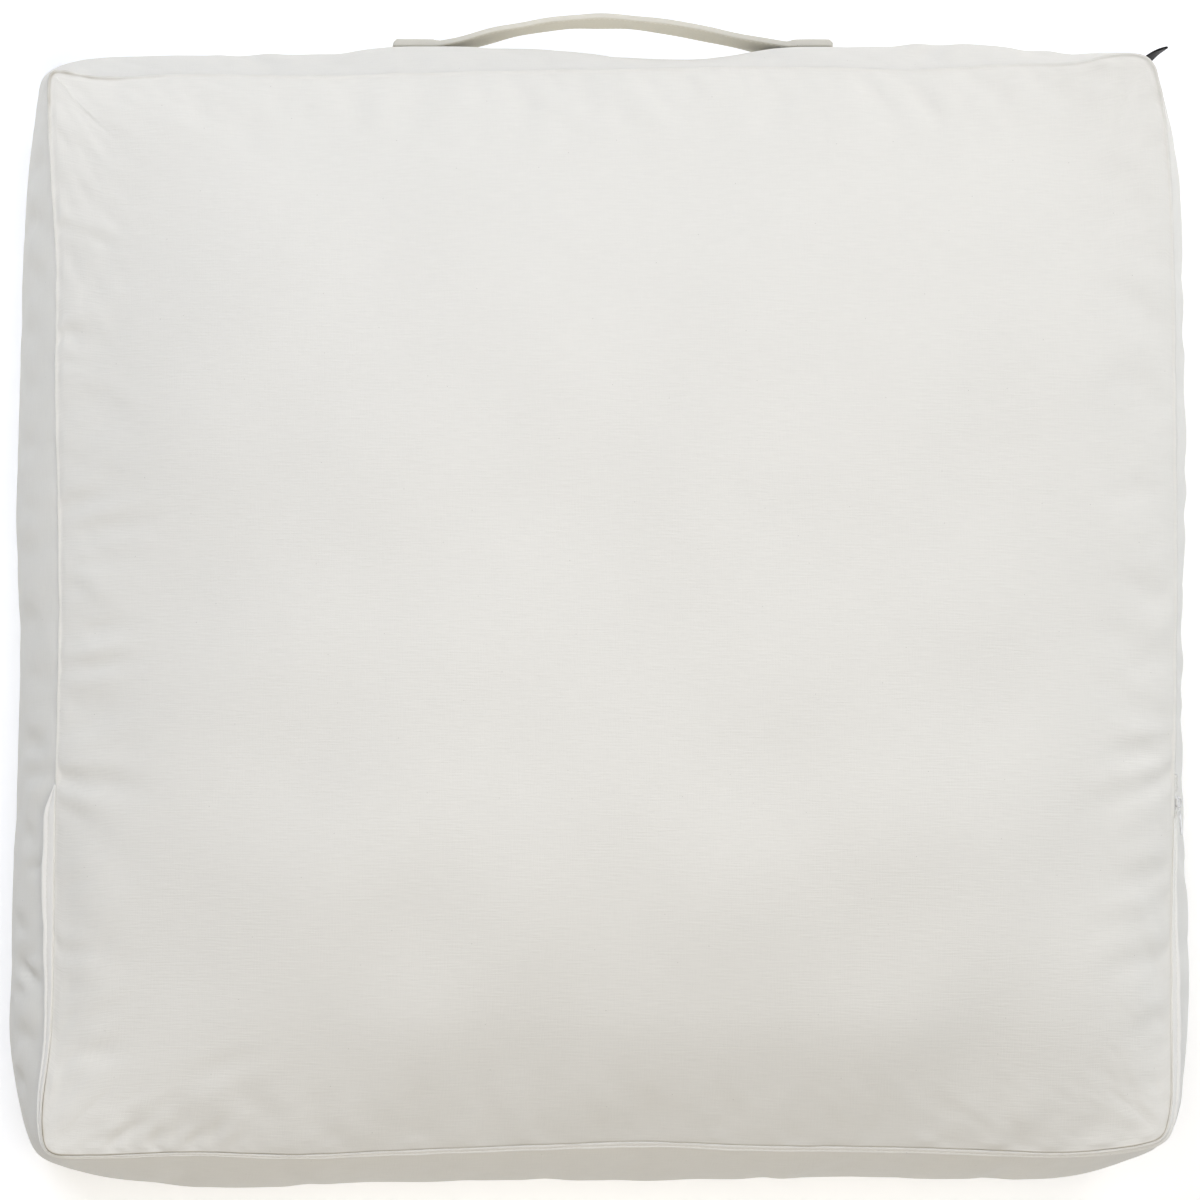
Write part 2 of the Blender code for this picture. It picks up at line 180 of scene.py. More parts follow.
# %% Work out the seam loop
FACE_HALF_X = 0.330
FACE_HALF_Y = 0.319
LOWER_SEAM_Z = 0.022
UPPER_SEAM_Z = 0.142
BAND_CLOTH = 0.130  # height of the band's cloth, measured over its bulge
CORNER_ROUNDING = 7 * MM
LOOP_POINTS = 1600
FRONT, RIGHT, REAR, LEFT = range(4)  # the sides in the order of the loop


def around(s):
    """Panel coordinates u and w, from -1 to 1, of places on the loop."""
    side = np.floor(s) % 4
    forward = 2 * (s - np.floor(s)) - 1
    chosen = [side == FRONT, side == RIGHT, side == REAR]
    u = np.select(chosen, [forward, 1.0, -forward], -1.0)
    w = np.select(chosen, [-1.0, forward, 1.0], -forward)
    return u, w


def panel_xy(u, w):
    """x and y of panel places. Each side's seam distance is let in by the square of the
    distance from the middle, so it is whole at its own seam and nothing at the middle."""
    right = read_side(RIGHT_SIDE, "seam_out_mm", w) * np.maximum(u, 0) ** 2
    left = read_side(LEFT_SIDE, "seam_out_mm", w) * np.maximum(-u, 0) ** 2
    rear = read_side(REAR_SIDE, "seam_out_mm", u) * np.maximum(w, 0) ** 2
    front = read_side(FRONT_SIDE, "seam_out_mm", u) * np.maximum(-w, 0) ** 2
    return u * FACE_HALF_X + right - left, w * FACE_HALF_Y + rear - front


def seam_lift(bulge):
    """Half of what the seams' distance gains where the band bulges less: its cloth is equally
    high all round, so it is an arc of fixed length over a chord."""
    chord = BAND_CLOTH - 8 * bulge**2 / (3 * BAND_CLOTH)
    return (chord - (UPPER_SEAM_Z - LOWER_SEAM_Z)) / 2


def panel_lift(u, w):
    """The seam lift carried over a panel: blended along x, plus along y, less the corners."""
    a, b = (u + 1) / 2, (w + 1) / 2
    front, rear = (seam_lift(read_side(t, "bulge_mm", u)) for t in (FRONT_SIDE, REAR_SIDE))
    left, right = (seam_lift(read_side(t, "bulge_mm", w)) for t in (LEFT_SIDE, RIGHT_SIDE))
    front_ends, rear_ends = (seam_lift(read_side(t, "bulge_mm", np.array([-1.0, 1.0])))
                             for t in (FRONT_SIDE, REAR_SIDE))
    corners = ((1 - b) * ((1 - a) * front_ends[0] + a * front_ends[1])
               + b * ((1 - a) * rear_ends[0] + a * rear_ends[1]))
    return (1 - a) * left + a * right + (1 - b) * front + b * rear - corners


def loop_columns(s):
    """x, y, half the seams' extra distance, and bulge, before the corners are rounded."""
    u, w = around(s)
    side = np.floor(s) % 4
    tables = (FRONT_SIDE, RIGHT_SIDE, REAR_SIDE, LEFT_SIDE)
    place = np.where(side % 2 == 0, u, w)
    bulge = np.select([side == k for k in range(4)],
                      [read_side(table, "bulge_mm", place) for table in tables])
    x, y = panel_xy(u, w)
    return np.stack([x, y, seam_lift(bulge), bulge], -1)


def average_round(values, reach):
    """Each value averaged with its neighbours round the loop by a bell curve, which is
    followed to four times its width."""
    half = int(4 * reach)
    weights = np.exp(-((np.arange(-half, half + 1) / reach) ** 2) / 2)
    padded = np.pad(values, ((half, half), (0, 0)), mode="wrap")
    return np.stack([np.convolve(c, weights / weights.sum(), "valid") for c in padded.T], -1)


def unit(vectors):
    """Vectors made one long."""
    return vectors / np.linalg.norm(vectors, axis=-1, keepdims=True)


def path_run(points):
    """Distance along paths of points: the lengths of the steps, added up from 0."""
    steps = np.linalg.norm(np.diff(points, axis=0), axis=-1)
    return np.concatenate([np.zeros_like(steps[:1]), np.cumsum(steps, axis=0)])


loop_s = np.arange(LOOP_POINTS) * 4 / LOOP_POINTS
sharp = loop_columns(loop_s)
step = 2 * (FACE_HALF_X + FACE_HALF_Y) * 2 / LOOP_POINTS
rounded = average_round(sharp, CORNER_ROUNDING / step)
onward = unit(np.roll(rounded[:, :2], -1, 0) - np.roll(rounded[:, :2], 1, 0))
loop_table = np.column_stack([rounded, onward[:, 1], -onward[:, 0]])
print(f"seam loop {path_run(rounded[:, :2])[-1]:.3f} m")


def loop(s):
    """x, y, lift, bulge and the outward direction at places on the rounded loop."""
    return np.stack([np.interp(s, loop_s, c, period=4) for c in loop_table.T], -1)

# %% [markdown]
# ## The filled shape
#
# The skin is one grid wrapped over the edge of the pillow. Its columns are places on the seam
# loop. Its rows are places on the cloth, measured from the upper seam: less than 0 on the face,
# then down the band to the lower seam, then a little way onto the back. Inside the wrap, the
# face and the back are ordinary square grids.
#
# Beside a seam the cloth keeps to the rounded loop, so a place is found by stepping straight
# in from the seam. Further in, it passes smoothly to the panel's own places, whose corners are
# not rounded. The face rises as a soft crown, the back lies flat where it rests, and the band
# swells like an arc between its seams.

# %% Surface formulas
CROWN = 0.060
CROWN_SPREAD = 3.0  # larger is flatter on top
CROWN_ROLL = 0.90  # smaller is steeper beside the seam
REST_SHARE = 0.68  # share of the back that lies flat
REST_CURVE = 1.6  # how the back lifts towards its seam
LIFT_CLING = 3  # larger keeps a seam's lift closer to that seam
SEAM_STRIP = 4.8 * MM  # cloth that keeps to the seam's own line
LOOP_FADE = 40 * MM  # distance over which the panel's places take over from the loop's


def nearest_border(u, w):
    """Loop place s of the seam nearest to panel places u and w, and how far in they are."""
    in_x, in_y = (1 - np.abs(u)) * FACE_HALF_X, (1 - np.abs(w)) * FACE_HALF_Y
    inward = np.minimum(in_x, in_y)
    a = (u / np.maximum(1 - inward / FACE_HALF_X, 1e-9) + 1) / 2
    b = (w / np.maximum(1 - inward / FACE_HALF_Y, 1e-9) + 1) / 2
    s = np.where(in_y <= in_x, np.where(w < 0, a, 3 - a), np.where(u > 0, 1 + b, 4 - b))
    return s, inward


def crown_share(t):
    """1 in the middle, 0 at the seam: one less a power of the distance, then a root."""
    return np.maximum(1 - np.abs(t) ** CROWN_SPREAD, 0) ** CROWN_ROLL


def clear_share(t):
    """0 where the back rests on the floor, rising to 1 at the seam."""
    return np.maximum((np.abs(t) - REST_SHARE) / (1 - REST_SHARE), 0) ** REST_CURVE


def panel_height(u, w, lift, is_face):
    """Height of the face or of the back at panel places u and w: the seam's height, its lift
    near the seams, and the crown, or on the back the share that is clear of the floor."""
    near = 1 - (1 - np.abs(u) ** LIFT_CLING) * (1 - np.abs(w) ** LIFT_CLING)
    if is_face:
        return UPPER_SEAM_Z + lift * near + CROWN * crown_share(u) * crown_share(w)
    clear = 1 - (1 - clear_share(u)) * (1 - clear_share(w))
    return (LOWER_SEAM_Z - lift * near) * clear


def inner_panel(u, w, is_face):
    """Points of a panel inside the strip: the panel's own places, plus what the loop differs
    by from them at the strip's inner line, fading out with distance."""
    s, inward = nearest_border(u, w)
    ring = loop(s)
    edge_u, edge_w = around(s)
    edge_x, edge_y = panel_xy(edge_u * (1 - SEAM_STRIP / FACE_HALF_X),
                              edge_w * (1 - SEAM_STRIP / FACE_HALF_Y))
    near = np.clip(1 - (inward - SEAM_STRIP) / LOOP_FADE, 0, 1)
    fade = near**2 * (3 - 2 * near)
    x, y = panel_xy(u, w)
    x = x + (ring[..., 0] - SEAM_STRIP * ring[..., 4] - edge_x) * fade
    y = y + (ring[..., 1] - SEAM_STRIP * ring[..., 5] - edge_y) * fade
    lift = panel_lift(u, w)
    lift = lift + (ring[..., 2] - panel_lift(edge_u, edge_w)) * fade
    return np.stack([x, y, panel_height(u, w, lift, is_face)], -1)


def panel_shares(s, travel):
    """Panel places u and w of wrap columns s and rows travel, as row by column arrays."""
    inward = np.maximum(0, np.maximum(-travel, travel - BAND_CLOTH))[:, None]
    u, w = around(s)
    return u * (1 - inward / FACE_HALF_X), w * (1 - inward / FACE_HALF_Y), inward


def wrapped(s, travel):
    """Points of the wrap. Out of the seam they stand by the band's fullness 4 v (1 - v) times
    its bulge, where v is 1 at the upper seam and 0 at the lower."""
    u, w, inward = panel_shares(s, travel)
    x, y, lift, bulge, out_x, out_y = loop(s).T
    v = np.clip(1 - travel / BAND_CLOTH, 0, 1)[:, None]
    out = 4 * v * (1 - v) * bulge - np.minimum(inward, SEAM_STRIP)
    low, high = LOWER_SEAM_Z - lift, UPPER_SEAM_Z + lift
    points = np.stack([x + out * out_x, y + out * out_y, low + (high - low) * v], -1)
    for is_face in (True, False):
        strip = (travel < 0) if is_face else (travel > BAND_CLOTH)
        points[strip, :, 2] = panel_height(u[strip], w[strip], lift, is_face)
        deep = strip & (inward[:, 0] > SEAM_STRIP)
        if deep.any():
            points[deep] = inner_panel(u[deep], w[deep], is_face)
    return points


# %% [markdown]
# ## Where the grid lines go
#
# The stitched edge beside a seam is about a millimetre wide, the creases beside it are a few
# millimetres, and the middle of the cloth is smooth. So rows stand half a millimetre apart at
# a seam and three or four millimetres apart beyond it, and the inner grids are coarser still,
# with every second column of the wrap. A ring of five-sided faces joins the two.

# %% Grid lines
SIDE_CELLS = 104
CORNER_SQUEEZE = 0.2  # brings columns closer together at the corners
WRAP_DEPTH = 58 * MM  # how far the wrap reaches over the face
SEAM_ROWS = np.array([0, 0.4, 0.8, 1.2, 1.7, 2.2, 2.8, 3.6, 4.8]) * MM
FACE_ROWS = 14
FACE_ROW_SPREAD = 1.15  # more than 1 sets the rows wider apart further in
BAND_ROWS = 32
INNER_GAP = 5 * MM  # between the wrap's last row and an inner grid

even = np.linspace(-1, 1, 2 * SIDE_CELLS + 1)
side_lines = (1 + CORNER_SQUEEZE) * even - CORNER_SQUEEZE * even**3
columns = np.concatenate([k + (side_lines[:-1] + 1) / 2 for k in range(4)])
face_share = np.linspace(0, 1, FACE_ROWS + 1)[1:] ** FACE_ROW_SPREAD
face_rows = SEAM_STRIP + (WRAP_DEPTH - SEAM_STRIP) * face_share
band_rows = np.linspace(SEAM_STRIP, BAND_CLOTH - SEAM_STRIP, BAND_ROWS + 2)[1:-1]
rows = np.concatenate([-face_rows[::-1], -SEAM_ROWS[:0:-1], SEAM_ROWS, band_rows,
                       BAND_CLOTH - SEAM_ROWS[::-1], BAND_CLOTH + SEAM_ROWS[1:]])
upper_row = int(np.argmin(np.abs(rows)))
lower_row = int(np.argmin(np.abs(rows - BAND_CLOTH)))


def inner_lines(depth, half):
    """Panel places of an inner grid whose border is one cell inside the wrap's last row."""
    return side_lines[::2] * (1 - (depth + INNER_GAP) / half)


face_u, face_w = np.meshgrid(inner_lines(WRAP_DEPTH, FACE_HALF_X),
                             inner_lines(WRAP_DEPTH, FACE_HALF_Y))
back_u, back_w = np.meshgrid(inner_lines(SEAM_STRIP, FACE_HALF_X),
                             inner_lines(SEAM_STRIP, FACE_HALF_Y))
print("wrap", len(rows), "rows by", len(columns), "columns; inner grids", face_u.shape)

# %% [markdown]
# ## One closed skin
#
# The pieces of the skin share their border points, so it is closed, and every face turns
# outwards. Each piece of cloth keeps its own flat coordinates as a UV map, in metres, so that
# the weave follows every panel as it was cut.

# %% Weld the grids
def border_order(index):
    """The border of a square index grid, anticlockwise from its front left corner."""
    return np.concatenate([index[0, :-1], index[:-1, -1], index[-1, :0:-1], index[:0:-1, 0]])


def quads(index):
    """Corners of every cell of an index grid: a row on, a column on, a row back."""
    return np.stack([index[:-1, :-1], index[1:, :-1], index[1:, 1:], index[:-1, 1:]], -1)


def join_ring(fine, coarse):
    """Five-sided faces between a ring and one with half its points, just inside it."""
    on = np.roll(coarse, -1)
    return np.stack([coarse, fine[::2], fine[1::2], np.roll(fine, -2)[::2], on], -1)


wrap_count = len(rows) * len(columns)
wrap_index = np.arange(wrap_count).reshape(len(rows), len(columns))
wrap_closed = np.column_stack([wrap_index, wrap_index[:, 0]])
face_index = wrap_count + np.arange(face_u.size).reshape(face_u.shape)
back_index = face_index[-1, -1] + 1 + np.arange(back_u.size).reshape(back_u.shape)

skin_faces = [quads(wrap_closed).reshape(-1, 4),
              quads(face_index)[..., ::-1].reshape(-1, 4),
              quads(back_index).reshape(-1, 4),
              join_ring(wrap_index[0], border_order(face_index)),
              join_ring(wrap_index[-1], border_order(back_index))[:, ::-1]]

wrap_points = wrapped(columns, rows)
skin_points = np.concatenate([wrap_points.reshape(-1, 3),
                              inner_panel(face_u, face_w, True).reshape(-1, 3),
                              inner_panel(back_u, back_w, False).reshape(-1, 3)])

# %% Flat coordinates of the cloth
wrap_u, wrap_w = panel_shares(columns, rows)[:2]
loop_length = path_run(loop(np.append(columns, 4))[:, :2])


def panel_flat(u, w):
    """Flat coordinates of a panel: its places times its half sizes."""
    return np.stack([u * FACE_HALF_X, w * FACE_HALF_Y], -1)


flat_on_panel = panel_flat(wrap_u, wrap_w)
flat_on_panel = np.concatenate([flat_on_panel, flat_on_panel[:, :1]], axis=1)
flat_on_band = np.dstack(np.meshgrid(loop_length, BAND_CLOTH - rows))
on_band = (np.arange(len(rows) - 1) >= upper_row) & (np.arange(len(rows) - 1) < lower_row)
corner_of = np.arange(wrap_closed.size).reshape(wrap_closed.shape)
panel_uv = flat_on_panel.reshape(-1, 2)[quads(corner_of)]
band_uv = flat_on_band.reshape(-1, 2)[quads(corner_of)]
wrap_uv = np.where(on_band[:, None, None, None], band_uv, panel_uv)

panel_flats = np.concatenate([flat_on_panel[:, :-1].reshape(-1, 2),
                              panel_flat(face_u, face_w).reshape(-1, 2),
                              panel_flat(back_u, back_w).reshape(-1, 2)])
skin_uv = [wrap_uv.reshape(-1, 2)] + [panel_flats[f].reshape(-1, 2) for f in skin_faces[1:]]


def set_uv(mesh, uv):
    """A UV map named cloth, in metres of cloth, one pair for each face corner."""
    layer = mesh.uv_layers.new(name="cloth")
    layer.uv.foreach_set("vector", np.asarray(uv, np.float32).ravel())


def vertex_normals(mesh):
    """Vertex normals as an array."""
    normals = np.empty(len(mesh.vertices) * 3, np.float32)
    mesh.vertex_normals.foreach_get("vector", normals)
    return normals.reshape(-1, 3).astype(float)


def add_object(name, mesh):
    """A new smooth object in the scene, at the origin."""
    mesh.shade_smooth()
    piece = bpy.data.objects.new(name, mesh)
    bpy.context.scene.collection.objects.link(piece)
    return piece


cover_mesh = bpy.data.meshes.new("pillow_cover")
cover_mesh.from_pydata(skin_points, [], [face for group in skin_faces for face in group.tolist()])
set_uv(cover_mesh, np.concatenate(skin_uv))
cover = add_object("pillow_cover", cover_mesh)
normals = vertex_normals(cover_mesh)
print("cover faces", len(cover_mesh.polygons), "points", len(cover_mesh.vertices))

# %% [markdown]
# ## The sewn edge
#
# Where two pieces of cloth are sewn and turned out, their allowances are pressed together
# inside the seam, so a thin ridge stands up along it, with a faint groove beside it where the
# stitches pull the layers down. Over the zip the band's cloth turns under instead, so the edge
# is low, with a fine groove between the face and the lip. The profile is a sum of bell curves
# of the distance from the seam, measured over the cloth, and it varies gently along the seam.

# %% Seam profile
rng = np.random.default_rng(7)


def over_cloth(row):
    """Distance over the cloth from one row to every point of its column."""
    run = path_run(wrap_points)
    return np.abs(run - run[row])


def bell(distance, width):
    """A bell curve of a distance: 1 at 0 and nearly gone at twice the width."""
    return np.exp(-((distance / width) ** 2))


NOISE_WAVES = 14
NOISE_RANGE = 3.7  # about as far as the sum of the waves reaches


def slow_noise(count, waves, seeds):
    """Seeded noise round the loop, about -1 to 1: a few whole waves of random phase."""
    turns = np.arange(count) / count * FULL_TURN
    total = np.zeros(count)
    for wave in seeds.integers(waves[0], waves[1], NOISE_WAVES):
        total += np.sin(wave * turns + seeds.uniform(0, FULL_TURN))
    return total / NOISE_RANGE


def before_zip_ends(y, right_end_y):
    """Where the columns have the zip beside them: the whole front, and the left and right
    sides in front of where the zip ends."""
    left = (column_side == LEFT) & (y < LIP_LEFT_END_Y)
    right = (column_side == RIGHT) & (y < right_end_y)
    return (column_side == FRONT) | left | right


LIP_LEFT_END_Y = -0.105
LIP_RIGHT_END_Y = -0.119
RIDGE = 1.25 * MM
RIDGE_OVER_ZIP = 0.35 * MM
LOWER_RIDGE = 0.8  # the lower seam's ridge, as a share of the upper's
UPPER_RIDGE_WIDTH, LOWER_RIDGE_WIDTH = 0.7 * MM, 0.8 * MM
GROOVE = 0.12 * MM
GROOVE_AWAY, GROOVE_WIDTH = 2.2 * MM, 0.9 * MM
ZIP_GROOVE = 0.5 * MM
ZIP_GROOVE_AWAY, ZIP_GROOVE_WIDTH = 0.5 * MM, 0.45 * MM
# How open the zip's groove is, which also sets the painted shade in it: rows of loop place and
# share.
ZIP_LINE = ((-0.30, 0.04), (-0.13, 0.12), (-0.05, 0.8), (0.0, 1.0), (0.2, 0.95), (0.32, 0.65),
            (0.6, 0.55), (0.90, 0.85), (1.0, 0.6), (1.08, 0.35), (1.12, 0.06), (1.30, 0.06))

from_upper = over_cloth(upper_row)
from_lower = over_cloth(lower_row)
column_side = np.floor(columns).astype(int)
over_zip = before_zip_ends(wrap_points[upper_row, :, 1], LIP_RIGHT_END_Y).astype(float)
zip_line = np.interp((columns + 2) % 4 - 2, *zip(*ZIP_LINE))
groove_strength = 0.75 + 0.35 * slow_noise(len(columns), (5, 60), rng)
ridge_strength = 1.0 + 0.15 * slow_noise(len(columns), (20, 140), rng)
upper_ridge = RIDGE + (RIDGE_OVER_ZIP - RIDGE) * over_zip
sewn_edge = ridge_strength * (upper_ridge * bell(from_upper, UPPER_RIDGE_WIDTH)
                              + LOWER_RIDGE * RIDGE * bell(from_lower, LOWER_RIDGE_WIDTH))
for away, shown in ((from_upper, 1 - over_zip), (from_lower, 1.0)):
    sewn_edge -= GROOVE * groove_strength * bell(away - GROOVE_AWAY, GROOVE_WIDTH) * shown
zip_groove = bell(rows[:, None] - ZIP_GROOVE_AWAY, ZIP_GROOVE_WIDTH)
sewn_edge -= ZIP_GROOVE * zip_line * over_zip * zip_groove
print("sewn edge from", round(sewn_edge.min() / MM, 2), "to", round(sewn_edge.max() / MM, 2), "mm")

# %% [markdown]
# ## Creases
#
# A filled cover creases where the cloth is held shorter than its filling wants: short tucks
# run off the seams, and a few longer folds reach further in. Each one is a row of a table, set
# out by its side, its place along the side, and how far inside the seam its middle lies (less
# than 0 on the band). `turn` leans it away from straight in, towards the growing coordinate.
#
# Across, a crease is a narrow valley with a soft ridge on one side and a fainter one on the
# other, as cloth makes when it buckles. Along, it fades at both ends.

# %% Crease table
Crease = namedtuple("Crease", "side along_mm inside_mm length_mm width_mm depth_mm turn_deg")

# Rows of along_mm, inside_mm, length_mm, width_mm, depth_mm and turn_deg.
CREASES = {
    LEFT: (
        (221, 5, 5, 3.5, 0.8, 0), (216, 27, 11, 4.0, 0.7, -8), (159, 6, 7, 4.0, 1.9, 4),
        (142, 7, 8, 3.5, 0.8, -5), (60, 15, 14, 5.5, 2.3, 11), (46, 26, 26, 7.0, 1.7, 5),
        (24, 16, 8, 3.5, 0.8, 0), (7, 14, 10, 4.0, 1.2, -38), (-1, 14, 7, 3.0, 0.7, -8),
        (-14, 24, 11, 4.5, 0.8, 6), (-35, 20, 19, 5.0, 2.0, 5), (-72, 12, 10, 5.0, 0.7, 10),
        (-101, 12, 16, 5.5, 1.6, -6), (-104, 30, 20, 6.5, 1.2, -12),
        (-119, 11, 10, 4.5, 1.6, -32), (-160, 10, 10, 5.0, 0.8, 12),
        (-199, 12, 12, 4.5, 1.4, -10), (-258, 28, 13, 5.0, 1.2, -16),
        (-104, 13, 15, 4.5, 1.1, -38), (-112, 22, 12, 6.0, -0.6, -40),
        (-290, 14, 12, 7.0, -0.7, 40), (296, 20, 12, 7.0, 0.7, -40),
        (262, -30, 16, 8.0, 1.9, -10), (232, -36, 16, 7.0, 1.9, -6),
        (200, -30, 14, 7.0, 1.6, -14), (165, -38, 16, 8.0, 2.1, -6),
        (132, -32, 16, 8.0, 1.6, -12), (96, -34, 18, 7.0, 2.1, -4),
        (60, -30, 12, 6.0, 1.4, -12), (34, -36, 16, 8.0, 2.1, -6), (-5, -34, 14, 8.0, 2.4, -4),
        (-40, -30, 12, 7.0, 1.6, -10), (-80, -30, 14, 7.0, 2.4, -6),
        (-98, -24, 14, 5.0, 2.7, -4), (-112, -24, 15, 8.0, -1.4, 32),
        (-134, -28, 10, 6.5, 2.7, -6), (-153, -22, 10, 3.5, 1.6, 0),
        (-186, -40, 10, 6.0, 2.1, -10), (-203, -30, 11, 4.0, 2.1, -12),
        (-214, -28, 16, 5.0, 4.8, -24), (-224, -38, 8, 4.0, 2.1, -8),
        (-236, -24, 12, 6.0, -1.6, -10), (-252, -28, 14, 6.0, 2.1, -8),
        (-278, -40, 12, 6.0, 2.4, -14),
    ),
    RIGHT: (
        (-64, 10, 12, 6.5, 0.8, 6), (-82, 17, 20, 7.0, 1.1, -4), (-100, 11, 15, 5.5, 1.9, -30),
        (-110, 34, 22, 8.0, 1.0, -26), (-156, 14, 15, 6.0, 1.1, -24),
        (-183, 24, 24, 7.0, 1.0, -20), (-206, 17, 18, 6.0, 1.0, -16),
        (-244, 16, 13, 5.5, 0.8, -28), (-57, 8, 8, 4.0, 0.5, 10), (-75, 8, 10, 4.0, 0.8, -6),
        (40, 12, 12, 6.0, 0.5, 8), (118, 12, 14, 6.5, 0.5, -10), (205, 14, 15, 7.0, 0.5, 12),
        (-40, -30, 20, 8.0, 1.2, 14), (60, -34, 22, 8.0, 1.1, -10),
        (-150, -34, 20, 7.5, 1.4, 20), (170, -36, 22, 8.0, 1.1, 12),
    ),
    REAR: (
        (-240, 22, 24, 9.0, 1.1, 62), (-126, 14, 12, 6.0, 0.4, 42), (-80, 12, 10, 6.0, 0.4, 36),
        (-33, 10, 9, 4.5, 0.7, 40), (21, 11, 10, 5.0, 1.0, 36), (31, 23, 9, 4.5, 0.7, 34),
        (48, 12, 11, 4.5, 0.8, 40), (77, 12, 11, 4.0, 0.6, 20), (112, 11, 10, 5.0, 0.5, 38),
        (153, 14, 15, 6.0, 1.3, 45), (184, 20, 20, 6.0, 1.8, 40), (222, 14, 11, 5.0, 0.8, 60),
        (262, 12, 13, 6.0, 0.6, 62), (292, 10, 12, 4.5, 0.8, 72), (-210, -34, 24, 8.5, 1.9, 16),
        (200, -34, 24, 8.5, 2.2, -22), (262, -38, 22, 8.0, 1.7, 12),
    ),
    FRONT: (
        (-229, 51, 22, 7.0, 0.9, 66), (-276, 12, 8, 4.5, 1.3, 24), (-252, 10, 7, 4.0, 1.1, 16),
        (-228, 12, 9, 4.5, 1.3, 22), (-240, 7, 7, 3.5, 1.5, 34), (-262, 7, 7, 3.5, 1.7, 30),
        (-285, 8, 8, 3.5, 1.6, 36), (-217, 6, 6, 3.5, 1.3, 28), (-120, 10, 8, 5.0, 0.5, -15),
        (40, 10, 9, 5.0, 0.5, 18), (153, 12, 10, 4.5, 1.1, 12), (236, 12, 9, 5.0, 0.7, -16),
        (-250, -38, 22, 8.5, 2.1, 24), (-180, -40, 24, 9.0, 1.6, -14),
        (-30, -42, 24, 9.0, 1.4, 10), (90, -40, 22, 8.0, 1.6, -18),
        (240, -40, 24, 8.5, 2.0, 16),
    ),
}

TUCKS_PER_SIDE = 34
TUCK_REACH = (315, 300, 315, 300)  # furthest from the middle of each side
TUCKS_ON_FACE = 0.6  # as a share of all tucks
TUCK_INSIDE_FACE, TUCK_INSIDE_BAND = (4, 9), (6, 16)
TUCK_SPANS = ((4, 11), (3.2, 6), (0.1, 0.36), (-28, 28))  # of length, width, depth and turn


def tucks(seeds):
    """Many short seeded creases beside the seams, on the face and on the band."""
    drawn = []
    for side, reach in enumerate(TUCK_REACH):
        for along in seeds.uniform(-reach, reach, TUCKS_PER_SIDE):
            on_face = seeds.random() < TUCKS_ON_FACE
            inside = seeds.uniform(*(TUCK_INSIDE_FACE if on_face else TUCK_INSIDE_BAND))
            rest = [seeds.uniform(*span) for span in TUCK_SPANS]
            drawn.append(Crease(side, along, inside if on_face else -inside, *rest))
    return drawn


# %% Draw the creases into the wrap
CREASE_RIDGES = ((1.7, 0.55), (-1.8, 0.25))  # places across and heights, beside a valley of 1
HELD_UPPER, HELD_LOWER = 1.6 * MM, 2.6 * MM  # cloth that a seam keeps from creasing

inside_mm = -rows[:, None] / MM * np.ones(len(columns))
along_mm = np.where(column_side % 2 == 0, wrap_u * FACE_HALF_X, wrap_w * FACE_HALF_Y) / MM


def crease_relief(crease):
    """One crease over the columns of its side, in metres: its depth, times a bell curve along
    it, times a valley and its ridges across it."""
    own = column_side == crease.side
    turn = math.radians(crease.turn_deg)
    reach = inside_mm[:, own] - crease.inside_mm
    aside = along_mm[:, own] - crease.along_mm
    p = (reach * math.cos(turn) + aside * math.sin(turn)) / crease.length_mm
    q = (aside * math.cos(turn) - reach * math.sin(turn)) / crease.width_mm
    across = -bell(q, 1)
    for place, height in CREASE_RIDGES:
        across = across + height * bell(q - place, 1)
    return own, crease.depth_mm * MM * bell(p, 1) * across


creased = np.zeros_like(inside_mm)
all_creases = [Crease(side, *row) for side, table in CREASES.items() for row in table] + tucks(rng)
for crease in all_creases:
    own, relief = crease_relief(crease)
    creased[:, own] += relief
creased *= (1 - bell(from_upper, HELD_UPPER)) * (1 - bell(from_lower, HELD_LOWER))
print(len(all_creases), "creases, deepest", round(-creased.min() / MM, 2), "mm")

# %% [markdown]
# ## Slack between the creases
#
# The filling is never quite even, so the broad surface rises and falls by a fraction of a
# millimetre to a millimetre over a hand's width. A few long waves of seeded direction give
# that. They fade at the seams and where the back rests.

# %% Broad waves
WAVE_COUNT = 12
WAVE_HEIGHT = 0.3 * MM
WAVE_CLIMB = 0.7  # how much height counts along a wave's path, so that the band has waves too
wave_heading = rng.uniform(0, math.pi, WAVE_COUNT)
wave_length = rng.uniform(90, 240, WAVE_COUNT) * MM
wave_phase = rng.uniform(0, FULL_TURN, WAVE_COUNT)


def broad_waves(points):
    """Sum of long sine waves over x, y and, for the band, z."""
    total = np.zeros(points.shape[:-1])
    for heading, length, phase in zip(wave_heading, wave_length, wave_phase):
        path = points[..., 0] * math.cos(heading) + points[..., 1] * math.sin(heading)
        total += np.sin((path + WAVE_CLIMB * points[..., 2]) * FULL_TURN / length + phase)
    return total * WAVE_HEIGHT


SWELL_X, SWELL_Y = 70 * MM, -236 * MM
SWELL_HEIGHT = 8 * MM
SWELL_WIDTH = 370 * MM
SWELL_FRONT, SWELL_REAR = 55 * MM, 170 * MM  # its reach towards the front and the rear
SWELL_START = 6 * MM  # height over the seam where the swell is whole


def front_swell(points):
    """A bell across x and a lopsided one along y, steeper on its front slope: the filling
    stands highest a hand's width behind the front seam."""
    x, y, z = np.moveaxis(points, -1, 0)
    reach = np.where(y < SWELL_Y, SWELL_FRONT, SWELL_REAR)
    face = np.clip((z - UPPER_SEAM_Z) / SWELL_START, 0, 1)
    return SWELL_HEIGHT * bell(x - SWELL_X, SWELL_WIDTH) * bell(y - SWELL_Y, reach) * face


